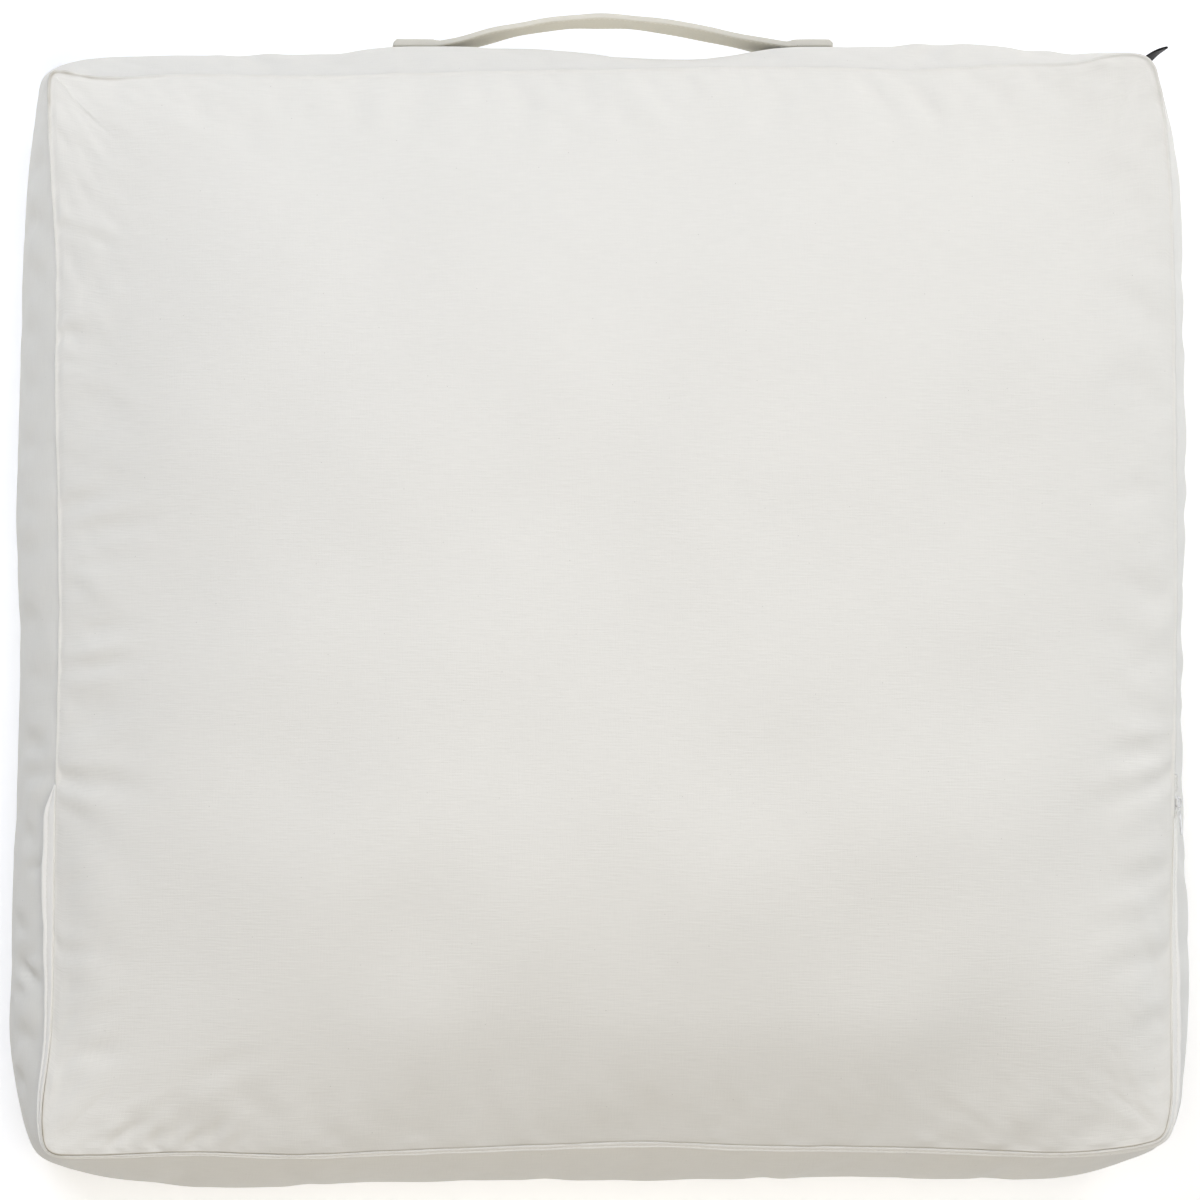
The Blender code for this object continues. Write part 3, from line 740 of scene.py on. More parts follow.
HANDLE_MIDDLE_X = 0.008
HANDLE_HALF_SPAN = 0.133
HANDLE_WIDTH = 0.028
HANDLE_Z = 0.069
ZIP_CLEAR = 32 * MM  # how far past the lip's right end the slider and tape hold the cloth
LIP_CLEAR, LIP_CLEAR_FADE = 7 * MM, 4 * MM  # band cloth under the lip
HANDLE_FADE_X, HANDLE_FADE_Z = 12 * MM, 9 * MM  # how soon the cloth moves beyond the handle
SEAM_CALM = 20 * MM  # cloth beside a seam that has no broad waves
REST_CALM = 6 * MM  # height over the floor below which the cloth has none


def kept_clear():
    """1 where the cloth may move, 0 under the handle, the lip and the zip, where it is held."""
    x, y, z = np.moveaxis(wrap_points, -1, 0)
    travel = rows[:, None]
    on_handle = (bell(np.maximum(np.abs(x - HANDLE_MIDDLE_X) - HANDLE_HALF_SPAN, 0), HANDLE_FADE_X)
                 * bell(np.maximum(np.abs(z - HANDLE_Z) - HANDLE_WIDTH / 2, 0), HANDLE_FADE_Z)
                 * (column_side == REAR) * (travel > 0))
    under_lip = (before_zip_ends(y, LIP_RIGHT_END_Y + ZIP_CLEAR) * (travel > 0)
                 * bell(np.maximum(travel - LIP_CLEAR, 0), LIP_CLEAR_FADE))
    return (1 - on_handle) * (1 - under_lip)


free_to_move = kept_clear()
rests = bell(np.maximum(skin_points[:, 2], 0), REST_CALM)
waves = (broad_waves(skin_points) + front_swell(skin_points)) * (1 - rests)
wrap_waves = waves[:wrap_count].reshape(inside_mm.shape)
wrap_waves = wrap_waves * (1 - bell(from_upper, SEAM_CALM)) * (1 - bell(from_lower, SEAM_CALM))
print("broad waves up to", round(np.abs(wrap_waves).max() / MM, 2), "mm on the wrap")

# %% [markdown]
# ## Wrinkles from a cloth simulation
#
# Along a seam the cover is a little longer than the seam holds it, and the filling presses it
# out, so it buckles into small wrinkles that run off the seam. A coarse copy of the wrap is
# simulated as cloth: its seams are pinned, its cloth is cut slightly too large, and pressure
# stands for the filling. Gravity is left out, since the filling carries the weight.
#
# Only the wrinkles are kept. The broad change, which is what is left after a blur along the
# seam, belongs to the shape set out above.

# %% Simulate a coarse wrap as cloth
SIM_CELL = 6 * MM
SIM_FRAMES = 20
SLACK_BAND = 0.022
SLACK_FACE = 0.008
SLACK_FADE = 20 * MM  # distance from the seam over which the band's slack fades on the face
SLACK_LEVELS = 5
START_UNEVENNESS = 0.2 * MM  # lets the cloth choose where to buckle
BLUR_COLUMNS = 4  # averaged each way, about 26 mm of seam
BAND_CALM, BAND_CALM_WIDTH = 0.75, 26 * MM  # wrinkles taken off the middle of the band
FACE_FADE = 0.6  # share of the wrap's depth over which the face's wrinkles fade
WRINKLE_LIMIT = 4 * MM
SMOOTHINGS = 2
CLOTH_SETTINGS = {
    "quality": 6, "mass": 0.15, "tension_stiffness": 30, "compression_stiffness": 30,
    "shear_stiffness": 10, "bending_stiffness": 0.4, "air_damping": 4,
    "vertex_group_mass": "pins", "vertex_group_shrink": "loose",
    "shrink_min": -SLACK_FACE, "shrink_max": -SLACK_BAND,
    "use_pressure": True, "uniform_pressure_force": 4,
}


def simulated(points, slack, held_rows):
    """Points of a grid, round the loop by columns, after pressure on cloth that is pinned at
    the held rows. `slack` is 1 where the cloth is cut most too large."""
    count, wide = points.shape[:2]
    index = np.arange(count * wide).reshape(count, wide)
    mesh = bpy.data.meshes.new("sim_cloth")
    cells = quads(np.column_stack([index, index[:, 0]])).reshape(-1, 4)
    mesh.from_pydata(points.reshape(-1, 3), [], cells.tolist())
    cloth = bpy.data.objects.new("sim_cloth", mesh)
    bpy.context.scene.collection.objects.link(cloth)
    pins = cloth.vertex_groups.new(name="pins")
    pins.add(index[held_rows].ravel().tolist(), 1.0, "REPLACE")
    loose = cloth.vertex_groups.new(name="loose")
    for level in range(1, SLACK_LEVELS + 1):
        near = np.round(slack.ravel() * SLACK_LEVELS) == level
        loose.add(np.flatnonzero(near).tolist(), level / SLACK_LEVELS, "REPLACE")
    modifier = cloth.modifiers.new("cloth", "CLOTH")
    for name, value in CLOTH_SETTINGS.items():
        setattr(modifier.settings, name, value)
    modifier.settings.effector_weights.gravity = 0
    modifier.collision_settings.use_collision = False
    modifier.point_cache.frame_start, modifier.point_cache.frame_end = 1, SIM_FRAMES
    for instant in range(1, SIM_FRAMES + 1):
        bpy.context.scene.frame_set(instant)
    moved = np.empty(count * wide * 3, np.float32)
    evaluated = cloth.evaluated_get(bpy.context.evaluated_depsgraph_get())
    evaluated.data.vertices.foreach_get("co", moved)
    bpy.data.objects.remove(cloth)
    bpy.data.meshes.remove(mesh)
    bpy.context.scene.frame_set(1)
    return moved.reshape(points.shape).astype(float)


def blurred_round(values, width):
    """Running mean over a number of columns each way, round the loop."""
    padded = np.concatenate([values[:, -width:], values, values[:, :width]], axis=1)
    sums = np.cumsum(np.column_stack([np.zeros(len(values)), padded]), axis=1)
    return (sums[:, 2 * width + 1:] - sums[:, :-2 * width - 1]) / (2 * width + 1)


wrinkles = np.zeros_like(inside_mm)
sim_rows = np.concatenate([np.arange(-WRAP_DEPTH, -SIM_CELL / 2, SIM_CELL),
                           np.linspace(0, BAND_CLOTH, round(BAND_CLOTH / SIM_CELL)),
                           [BAND_CLOTH + SEAM_STRIP]])
first, upper, lower, last = 0, int(np.argmin(np.abs(sim_rows))), -2, -1
sim_points = wrapped(columns[::2], sim_rows)
slack = bell(np.minimum(sim_rows, 0) / SLACK_FADE, 1)[:, None] * np.ones(sim_points.shape[1])
across = np.roll(sim_points, -1, 1) - np.roll(sim_points, 1, 1)
out = unit(np.cross(np.gradient(sim_points, axis=0), across))
uneven = np.random.default_rng(11).normal(0, START_UNEVENNESS, sim_points.shape[:2])
settled = simulated(sim_points + out * uneven[..., None], slack, [first, last, upper, lower])
rise = ((settled - sim_points) * out).sum(axis=-1)
rise = np.clip(rise - blurred_round(rise, BLUR_COLUMNS), -WRINKLE_LIMIT, WRINKLE_LIMIT)
rise *= np.clip((sim_rows[:, None] + WRAP_DEPTH) / (FACE_FADE * WRAP_DEPTH), 0, 1)
rise *= 1 - BAND_CALM * bell(sim_rows[:, None] - BAND_CLOTH / 2, BAND_CALM_WIDTH)
by_row = np.stack([np.interp(rows, sim_rows, column) for column in rise.T], 1)
wrinkles[:, ::2] = by_row
wrinkles[:, 1::2] = (by_row + np.roll(by_row, -1, 1)) / 2
for _ in range(SMOOTHINGS):
    wrinkles = (np.roll(wrinkles, 1, 1) + 2 * wrinkles + np.roll(wrinkles, -1, 1)) / 4
print("simulated wrap", sim_points.shape[:2], "wrinkles", round(wrinkles.min() / MM, 2),
      "to", round(wrinkles.max() / MM, 2), "mm")

# %% Move the skin
relief = np.zeros(len(skin_points))
relief[wrap_count:] = waves[wrap_count:]
relief[:wrap_count] = (sewn_edge + (creased + wrap_waves + wrinkles) * free_to_move).ravel()
skin_moved = skin_points + normals * relief[:, None]
skin_moved[:, 2] = np.maximum(skin_moved[:, 2], 0)
cover_mesh.vertices.foreach_set("co", skin_moved.astype(np.float32).ravel())
cover_mesh.update()
print("relief from", round(relief.min() / MM, 2), "to", round(relief.max() / MM, 2), "mm")

# %% [markdown]
# Painted shade: along the seams the colour is painted darker and warmer, as the shade that falls in
# a seam's groove and between the face and the lip over the zip, most of all at the corners. The
# amount of painted shade is kept on the mesh as an attribute, for the cotton to read.

# %% Painted seam shade
SEAM_SHADE = 0.03
CORNER_SHADES = (1.0, 0.55, 0.12, 0.4)  # painted shade at each corner, in the order of the loop, from the front left corner
CORNER_REACH = 0.055  # of a side
SHADE_IN, SHADE_IN_OVER_ZIP = 0.6 * MM, -0.15 * MM  # how far onto the face the line of painted shade lies
SHADE_WIDTH = 0.55 * MM
SHADE_HALO, SHADE_HALO_WIDTH = 0.35, 1.5 * MM  # a paler painted shade round the line
# painted shade along the groove of the lower seam
LOWER_SHADE = 0.4

shade_along = np.full(len(columns), SEAM_SHADE)
for corner, shade_amount in enumerate(CORNER_SHADES):
    away = np.abs((columns - corner + 2) % 4 - 2)
    shade_along = np.maximum(shade_along, shade_amount * bell(away, CORNER_REACH))
shade_along = shade_along * (0.8 + 0.3 * slow_noise(len(columns), (30, 160), rng))
shade_in = SHADE_IN + (SHADE_IN_OVER_ZIP - SHADE_IN) * over_zip
shade_line = bell(rows[:, None] + shade_in, SHADE_WIDTH)
# over the zip the painted shade follows zip_line, the depth of the groove between the face and the
# lip
shade_line = shade_line * np.maximum(shade_along * (1 - over_zip), zip_line * over_zip)
shade_halo = SHADE_HALO * shade_along * bell(from_upper, SHADE_HALO_WIDTH)
wrap_shade = shade_line + shade_halo + LOWER_SHADE * bell(from_lower, MM)
# painted shade in the seam grooves, kept as a point attribute
painted_shade = np.zeros(len(skin_points))
painted_shade[:wrap_count] = np.clip(wrap_shade, 0, 1).ravel()
attribute = cover_mesh.attributes.new("painted_seam_shade", "FLOAT", "POINT")
attribute.data.foreach_set("value", painted_shade.astype(np.float32))

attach(cover, "root")
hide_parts("pillow_body")
print("seam tint up to", round(painted_shade.max(), 2))

# %% [markdown]
# ## Shapes carried along a path
#
# The strap, the lip, the zip's parts and the ribbon are all one profile carried along a path.
# A function takes the ring of points at each place on the path and joins the rings into one
# closed mesh, with a flat cap at each end.

# %% Carry a profile along a path
def carried(name, rings):
    """A closed mesh through rings of points (place, point, xyz), with UVs in metres: length
    along the path and distance round the profile."""
    places, points = rings.shape[:2]
    index = np.arange(places * points).reshape(places, points)
    around_ring = np.column_stack([index, index[:, 0]])
    sides = quads(around_ring).reshape(-1, 4)
    faces = sides.tolist() + [index[0].tolist(), index[-1, ::-1].tolist()]

    length = path_run(rings.mean(axis=1))
    closed_ring = np.concatenate([rings, rings[:, :1]], axis=1)
    girth = path_run(closed_ring.swapaxes(0, 1)).T
    flat = np.stack([length[:, None] + 0 * girth, girth], -1)
    corner = np.arange(flat[..., 0].size).reshape(flat.shape[:2])
    uv = flat.reshape(-1, 2)[quads(corner).reshape(-1, 4)].reshape(-1, 2)
    caps = np.concatenate([flat[0, :-1], flat[-1, -2::-1]])

    mesh = bpy.data.meshes.new(name)
    mesh.from_pydata(rings.reshape(-1, 3), [], faces)
    set_uv(mesh, np.concatenate([uv, caps]))
    bm = bmesh.new()
    bm.from_mesh(mesh)
    bmesh.ops.recalc_face_normals(bm, faces=bm.faces[:])
    bm.to_mesh(mesh)
    bm.free()
    return add_object(name, mesh)


def merged(name, pieces):
    """Several carried shapes made into one object."""
    bm = bmesh.new()
    for piece in pieces:
        bm.from_mesh(piece.data)
    mesh = bpy.data.meshes.new(name)
    bm.to_mesh(mesh)
    bm.free()
    for piece in pieces:
        old = piece.data
        bpy.data.objects.remove(piece)
        bpy.data.meshes.remove(old)
    return add_object(name, mesh)


def band_frame(s, drop):
    """Place on the band, the direction along the loop, and down the band, and outwards."""
    place, lower = wrapped(s, np.array([drop, drop + 2 * MM]))
    before, after = (wrapped(s + step, np.array([drop]))[0] for step in (-0.001, 0.001))
    along, down = unit(after - before), unit(lower - place)
    return place, along, down, unit(np.cross(down, along))


def side_s(side, along):
    """Loop place s where the right or the left side passes this y."""
    fine = np.linspace(0.02, 0.98, 400) + side
    y = loop(fine)[:, 1]
    order = np.argsort(y)
    return float(np.interp(along, y[order], fine[order]))


# %% [markdown]
# ## Stitches
#
# A machine stitch shows as a short bead of thread that dives into the cloth at both ends.
# There are about seven hundred, so each has only thirty points. They are one array of points:
# five rings along each stitch, thinner and deeper towards its ends.

# %% Thread
STITCH = 2.5 * MM
STITCH_PITCH = STITCH + 0.6 * MM  # with the gap to the next stitch
THREAD_RADIUS = 0.22 * MM
BEAD_PLACES = np.array([0.0, 0.22, 0.5, 0.78, 1.0])
BEAD_SIZE = np.array([0.55, 0.95, 1.0, 0.95, 0.55])
BEAD_HEIGHT = np.array([-1.1, 0.0, 0.5, 0.0, -1.1])
BEAD_SIDES = 6


def ring_of(side, top, count):
    """Round rings: at each angle, its cosine times side plus its sine times top."""
    angle = np.arange(count) * FULL_TURN / count
    return np.cos(angle)[:, None] * side[:, None] + np.sin(angle)[:, None] * top[:, None]


def thread_mesh(name, starts, ends, up, radius=THREAD_RADIUS):
    """One mesh of stitches from starts to ends, whose beads rise along up."""
    count, places = len(starts), len(BEAD_PLACES)
    forward = unit(ends - starts)
    side = unit(np.cross(up, forward))
    top = np.cross(forward, side)
    centre = starts[:, None] + (ends - starts)[:, None] * BEAD_PLACES[:, None]
    centre = centre + top[:, None] * (BEAD_HEIGHT * radius)[:, None]
    ring = ring_of(side, top, BEAD_SIDES) * radius
    points = centre[:, :, None] + ring[:, None] * BEAD_SIZE[:, None, None]

    index = np.arange(count * places * BEAD_SIDES).reshape(count, places, BEAD_SIDES)
    on = np.roll(index, -1, axis=2)
    walls = np.stack([index[:, :-1], on[:, :-1], on[:, 1:], index[:, 1:]], -1).reshape(-1, 4)
    caps = np.concatenate([index[:, 0, ::-1], index[:, -1]])
    mesh = bpy.data.meshes.new(name)
    mesh.from_pydata(points.reshape(-1, 3), [], walls.tolist() + caps.tolist())
    return add_object(name, mesh)


def stitched_line(path, up):
    """Starts, ends and up directions of stitches along a path of points."""
    run = path_run(path)
    first = np.arange(int(run[-1] / STITCH_PITCH)) * STITCH_PITCH

    def at(where, values):
        """Values at distances along the path, read between its points."""
        return np.stack([np.interp(where, run, column) for column in values.T], -1)

    return at(first, path), at(first + STITCH, path), unit(at(first + STITCH / 2, up))


# %% [markdown]
# ## The lip over the zip
#
# The zip is hidden by a strip of the band's own cloth, folded double. It starts at a bar tack
# part-way along the left side, runs round the front, and ends at the slider on the right. Its
# section is a flat U: out under the seam, round the fold, and back. The section is worked out
# once, as a line through the middle of the cloth and its normals, and carried along the seam.
# The lip is sewn in a little deeper at some places than at others: it shows widest near the bar
# tack and at the front right corner, and least at the front left corner.

# %% Zip lip
LIP_WIDTH = 6.5 * MM
# Rows of share of the lip's length, and share of its width that shows, or of its flare.
LIP_SHOWS = ((0.00, 0.8), (0.03, 1.0), (0.08, 1.0), (0.13, 0.75), (0.18, 0.65), (0.21, 0.35),
             (0.27, 0.35), (0.40, 0.55), (0.60, 0.6), (0.77, 0.6), (0.82, 0.85), (0.87, 1.0),
             (0.91, 1.0), (0.95, 0.75), (1.0, 0.65))
LIP_STANDS = ((0.0, 1.0), (0.06, 1.0), (0.12, 0.25), (0.78, 0.25), (0.84, 0.8), (0.90, 0.8),
              (0.95, 0.25), (1.0, 0.25))
LIP_FLARE = 3.2 * MM  # how far its fold stands off the band, where it shows most
LIP_THICKNESS = 1.4 * MM
LIP_CLOTH = 0.42 * MM
LIP_END_TAPER = 11 * MM
LIP_PLACE_STEP = 3 * MM
LIP_START = 0.2 * MM  # how far outside the seam the lip begins
LIP_STITCH_AWAY = 3.9 * MM
# Rows of height, distance from the seam and width: the stitches' groove, the bead at the fold,
# and where the seam holds the lip down.
LIP_RELIEF = ((-0.32 * MM, LIP_STITCH_AWAY, 0.5 * MM), (0.6 * MM, 5.5 * MM, 0.8 * MM),
              (-0.15 * MM, 0.0, 0.9 * MM))
LIP_STAND, LIP_WAVE, LIP_RIPPLE = 0.3 * MM, 0.16 * MM, 0.08 * MM  # off the band, along the seam


def lip_section():
    """Middle line of the U as (distance from the seam, height off the band), with normals."""
    out = np.array([0.0, 0.8, 1.7, 2.6, 3.4, 3.9, 4.2, 4.5, 4.9, 5.4, 5.9]) * MM
    top = LIP_THICKNESS - LIP_CLOTH / 2
    for height, away, width in LIP_RELIEF:
        top = top + height * bell(out - away, width)
    turn = np.radians(np.array([60, 30, 0, -30, -60]))
    radius = (top[-1] - LIP_CLOTH / 2) / 2
    fold_out = LIP_WIDTH - LIP_CLOTH / 2 - radius + radius * np.cos(turn)
    fold_up = LIP_CLOTH / 2 + radius + radius * np.sin(turn)
    back = np.array([5.6, 4.2, 2.8, 1.4, 0.0]) * MM
    under = np.full(len(back), LIP_CLOTH / 2)
    line = np.stack([np.concatenate([out, fold_out, back]),
                     np.concatenate([top, fold_up, under])], -1)
    along = unit(np.gradient(line, axis=0))
    return line, np.stack([-along[:, 1], along[:, 0]], -1)


lip_start = side_s(3, LIP_LEFT_END_Y)
lip_end = 4 + side_s(1, LIP_RIGHT_END_Y)
lip_places = int((loop_length[-1] * (lip_end - lip_start) / 4) / LIP_PLACE_STEP)
lip_s = np.linspace(lip_start, lip_end, lip_places)
lip_seam = wrapped(lip_s % 4, np.array([0.0]))[0]
lip_run = path_run(lip_seam)
lip_down = unit(wrapped(lip_s % 4, np.array([LIP_WIDTH]))[0] - lip_seam)
lip_along = unit(np.gradient(lip_seam, axis=0))
lip_normal = unit(np.cross(lip_down, lip_along))

from_end = np.minimum(lip_run, lip_run[-1] - lip_run)
taper = 0.15 + 0.85 * np.clip(from_end / LIP_END_TAPER, 0, 1) ** 0.8
shows = average_round(np.interp(lip_run / lip_run[-1], *zip(*LIP_SHOWS))[:, None], 5)[:, 0]
taper = taper * shows
rise_in = np.clip(from_end / (1.3 * LIP_END_TAPER), 0, 1)
flare = rise_in * shows**2 * np.interp(lip_run / lip_run[-1], *zip(*LIP_STANDS))
lip_wave = slow_noise(lip_places, (9, 46), rng)
lip_ripple = slow_noise(lip_places, (50, 110), rng)
line, line_normals = lip_section()
middle = np.concatenate([line + line_normals * LIP_CLOTH / 2,
                         (line - line_normals * LIP_CLOTH / 2)[::-1]])
lip_out = LIP_START + middle[:, 0] * (taper * (1 + 0.035 * lip_wave))[:, None]
stand = LIP_STAND + (LIP_WAVE * (lip_wave + 1) + LIP_RIPPLE * lip_ripple) * rise_in
lip_height = (0.45 + 0.55 * shows) * (0.4 + 0.6 * rise_in)
across_lip = middle[:, 0] / LIP_WIDTH
lip_up = (middle[:, 1] * lip_height[:, None] + (stand * shows)[:, None] * (0.4 + 0.6 * across_lip)
          + (LIP_FLARE * flare)[:, None] * np.maximum(across_lip, 0) ** 1.4)
lip_rings = (lip_seam[:, None] + lip_out[..., None] * lip_down[:, None]
             + lip_up[..., None] * lip_normal[:, None])
zip_lip = carried("zip_lip_cloth", lip_rings)
lip_girth = path_run(line)[-1] * taper
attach(zip_lip, "root")
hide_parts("zip_lip")
print("zip lip from", *np.round(lip_girth[[lip_girth.argmin(), lip_girth.argmax()]] / MM, 1),
      f"mm of cloth, mean {lip_girth.mean() / MM:.1f} mm, by {lip_run[-1]:.3f} m")

# %% Lip stitches and bar tack
STITCH_SUNK = 0.35 * MM
STITCH_STAND, STITCH_FLARE = 0.76, 0.49  # shares of the lip's stand and flare where they run
stitch_up = ((LIP_THICKNESS - STITCH_SUNK) * lip_height + stand * shows * STITCH_STAND
             + LIP_FLARE * flare * STITCH_FLARE)
lip_stitch_path = (lip_seam + (LIP_START + LIP_STITCH_AWAY * taper)[:, None] * lip_down
                   + stitch_up[:, None] * lip_normal)

TACK_THREADS = 11
TACK_LENGTH = 4.5 * MM
TACK_WIDTH = 2.2 * MM
# Rows of loop place, distance down the band, length and height, at the lip's start and end.
TACKS = ((lip_start - 0.006, 0.9 * MM, TACK_LENGTH, 0.25 * MM),
         (lip_end - 4 - 0.002, 2.0 * MM, 0.7 * TACK_LENGTH, 1.9 * MM))


def bar_tack(s, drop, length, height):
    """Close parallel threads across a seam: their starts, ends and up direction."""
    place, along, down, outward = (value[0] for value in band_frame(np.array([s]), drop))
    shift = (np.arange(TACK_THREADS) / (TACK_THREADS - 1) - 0.5)[:, None] * length
    base = place + outward * height + along * shift
    half = down * TACK_WIDTH / 2
    return base - half, base + half, np.tile(outward, (TACK_THREADS, 1))


lip_lines = [stitched_line(lip_stitch_path, lip_normal)] + [bar_tack(*tack) for tack in TACKS]
lip_thread = thread_mesh("zip_lip_stitches", *map(np.concatenate, zip(*lip_lines)))
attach(lip_thread, "root")
print("threads on the lip", sum(len(starts) for starts, _, _ in lip_lines))

# %% [markdown]
# ## The carry handle
#
# The handle is a strap of the same cotton, folded so that its raw edges are inside and sewn
# along both edges. Its ends are turned under and sewn to the rear band, and it is a little
# longer than the gap between them, so it stands away from the band in an arch. The band is
# fuller at the strap's upper edge than at its lower one, so the strap leans outwards.
#
# Its profile is a flat oval with a notch at each edge, where the two folded layers meet, and
# a groove for each row of stitches.

# %% Carry handle
HANDLE_PATCH = 0.026
HANDLE_RISE = 0.0170
HANDLE_ARCH_SHAPE = 1.25
HANDLE_ARCH_SKEW = 0.9  # less than 1 puts the top of the arch nearer its left end
HANDLE_UPRIGHT = 0.45  # how much less the strap leans at its middle than at its ends
HANDLE_END_THICKNESS = 4.4 * MM
HANDLE_FREE_THICKNESS = 3.3 * MM
LAID_GAP = 0.6 * MM
HANDLE_STEP = 0.5 * MM  # how suddenly it thins beside its sewn ends
HANDLE_END_ROUNDING = 1.6 * MM
HANDLE_EDGE_ROUNDING = 1.25 * MM
HANDLE_NOTCH = 0.55 * MM
EDGE_GROOVE, EDGE_GROOVE_WIDTH = 0.2, 0.5 * MM  # under the stitches, as a share of its half
EDGE_STITCH_IN = 2.6 * MM
HANDLE_SAG = 0.4 * MM
HANDLE_TWIST = 0.35 * MM  # its edges wave this far in and out

rear_s = np.linspace(2.12, 2.88, 600)
rear_x, rear_y, rear_lift, rear_bulge, rear_out_x, rear_out_y = loop(rear_s).T


def rear_surface(x, z):
    """y of the rear band at places x and height z."""
    v = (z - LOWER_SEAM_Z + rear_lift) / (UPPER_SEAM_Z - LOWER_SEAM_Z + 2 * rear_lift)
    out = 4 * v * (1 - v) * rear_bulge
    place_x = rear_x + out * rear_out_x
    order = np.argsort(place_x)
    return np.interp(x, place_x[order], (rear_y + out * rear_out_y)[order])


first_x, last_x = HANDLE_MIDDLE_X - HANDLE_HALF_SPAN, HANDLE_MIDDLE_X + HANDLE_HALF_SPAN
free_start, free_end = first_x + HANDLE_PATCH, last_x - HANDLE_PATCH
handle_x = np.linspace(first_x, last_x, 134)


def strap_back(z):
    """y of the strap's inner side: the band itself at the sewn ends, an arch between them."""
    surface = rear_surface(handle_x, z)
    t = np.clip((handle_x - free_start) / (free_end - free_start), 0, 1)
    ends = rear_surface(np.array([free_start, free_end]), z)
    leans = ends - rear_surface(np.array([free_start, free_end]), HANDLE_Z)
    arch = HANDLE_RISE * np.sin(math.pi * t**HANDLE_ARCH_SKEW) ** HANDLE_ARCH_SHAPE
    arch = arch - HANDLE_UPRIGHT * np.sin(math.pi * t) * (leans[0] + (leans[1] - leans[0]) * t)
    return np.maximum(surface, ends[0] + (ends[1] - ends[0]) * t + arch) + LAID_GAP


edge_back, edge_front = (strap_back(HANDLE_Z + k * HANDLE_WIDTH / 2) for k in (-1, 1))
to_end = np.minimum(handle_x - first_x, last_x - handle_x)
sewn = 1 / (1 + np.exp((to_end - HANDLE_PATCH) / HANDLE_STEP))
thickness = HANDLE_FREE_THICKNESS + (HANDLE_END_THICKNESS - HANDLE_FREE_THICKNESS) * sewn
thickness = thickness * (0.55 + 0.45 * np.clip(to_end / HANDLE_END_ROUNDING, 0, 1) ** 0.5)


def strap_profile():
    """Across the strap (-1 to 1), and half thickness there as a share: round edges, a notch
    at each edge, a groove under each row of stitches. Out on one side, back on the other."""
    from_edge = np.array([0.0, 0.12, 0.5, 1.0, 1.6, 2.2, 2.6, 3.0, 3.6, 5, 8, 11.5]) * MM
    rounding = np.clip((from_edge + 0.06 * MM) / HANDLE_EDGE_ROUNDING, 0, 1)
    share = np.sqrt(1 - (1 - rounding) ** 2)
    share = share - EDGE_GROOVE * bell(from_edge - EDGE_STITCH_IN, EDGE_GROOVE_WIDTH)
    across = 1 - from_edge / (HANDLE_WIDTH / 2)
    across[0] -= HANDLE_NOTCH / (HANDLE_WIDTH / 2)  # between the folded layers
    share[0] = 0.0
    return (np.concatenate([across, -across[::-1], -across[1:], across[:0:-1]]),
            np.concatenate([share, share[::-1], -share[1:], -share[:0:-1]]))


profile_across, profile_half = strap_profile()
lean = (edge_front - edge_back) / 2
strap_y = (edge_front + edge_back) / 2
profile_z = profile_across * HANDLE_WIDTH / 2
strap_wave = HANDLE_TWIST * slow_noise(len(handle_x), (2, 9), rng) * (1 - sewn)
rings_y = (strap_y[:, None] + lean[:, None] * profile_across
           + thickness[:, None] * (0.5 + 0.5 * profile_half) + strap_wave[:, None] * profile_across)
rings_z = HANDLE_Z + profile_z - HANDLE_SAG * np.sin(math.pi * to_end / to_end.max() / 2)[:, None]
handle_rings = np.stack([np.repeat(handle_x[:, None], len(profile_z), 1), rings_y, rings_z], -1)
handle = carried("handle_strap", handle_rings)
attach(handle, "root")
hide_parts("handle")


# %% Handle stitches
THREAD_LEVEL = 0.82  # share of the strap's half thickness at which the stitches lie


def strap_point(x, across, side):
    """Points on the strap's outer (1) or inner (-1) side, slightly sunk in."""
    y = np.interp(x, handle_x, strap_y) + np.interp(x, handle_x, lean) * across
    half = np.interp(x, handle_x, thickness) / 2
    wave = np.interp(x, handle_x, strap_wave) * across
    end_share = np.minimum(x - first_x, last_x - x) / to_end.max()
    z = HANDLE_Z + across * HANDLE_WIDTH / 2 - HANDLE_SAG * np.sin(math.pi * end_share / 2)
    return np.stack([x, y + wave + half * (1 + side * THREAD_LEVEL), z], -1)


END_STITCH_IN = 2.4 * MM
PATCH_STITCH_IN = 1.5 * MM

edge_share = 1 - EDGE_STITCH_IN / (HANDLE_WIDTH / 2)
end_lines = (first_x + END_STITCH_IN, last_x - END_STITCH_IN)
patch_lines = (free_start - PATCH_STITCH_IN, free_end + PATCH_STITCH_IN)
strap_x = np.linspace(*end_lines, 400)
free_x = np.linspace(free_start, free_end, 300)
outwards = np.array([0.0, 1.0, 0.0])
strap_lines = []
for across in (-edge_share, edge_share):
    for side, places in ((1, strap_x), (-1, free_x)):
        path = strap_point(places, across, side)
        strap_lines.append(stitched_line(path, np.tile(outwards * side, (len(path), 1))))
for place in (end_lines[0], *patch_lines, end_lines[1]):
    shares = np.linspace(-edge_share, edge_share, 30)
    path = np.concatenate([strap_point(np.array([place]), share, 1) for share in shares])
    strap_lines.append(stitched_line(path, np.tile(outwards, (len(path), 1))))
handle_thread = thread_mesh("handle_stitches", *map(np.concatenate, zip(*strap_lines)))
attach(handle_thread, "root")
print("stitches on the handle", sum(len(starts) for starts, _, _ in strap_lines))

# %% [markdown]
# ## The zip's small parts
#
# Only the end of the zip shows, on the right side: a pressed metal slider in white enamel, its
# pull hanging over the lip, and a loop of the woven tape behind it. Zip motion is left out,
# because a zip pulls its cloth open as it moves. A slider is two wings with a waist between
# them and a small bridge on top that holds the pull.

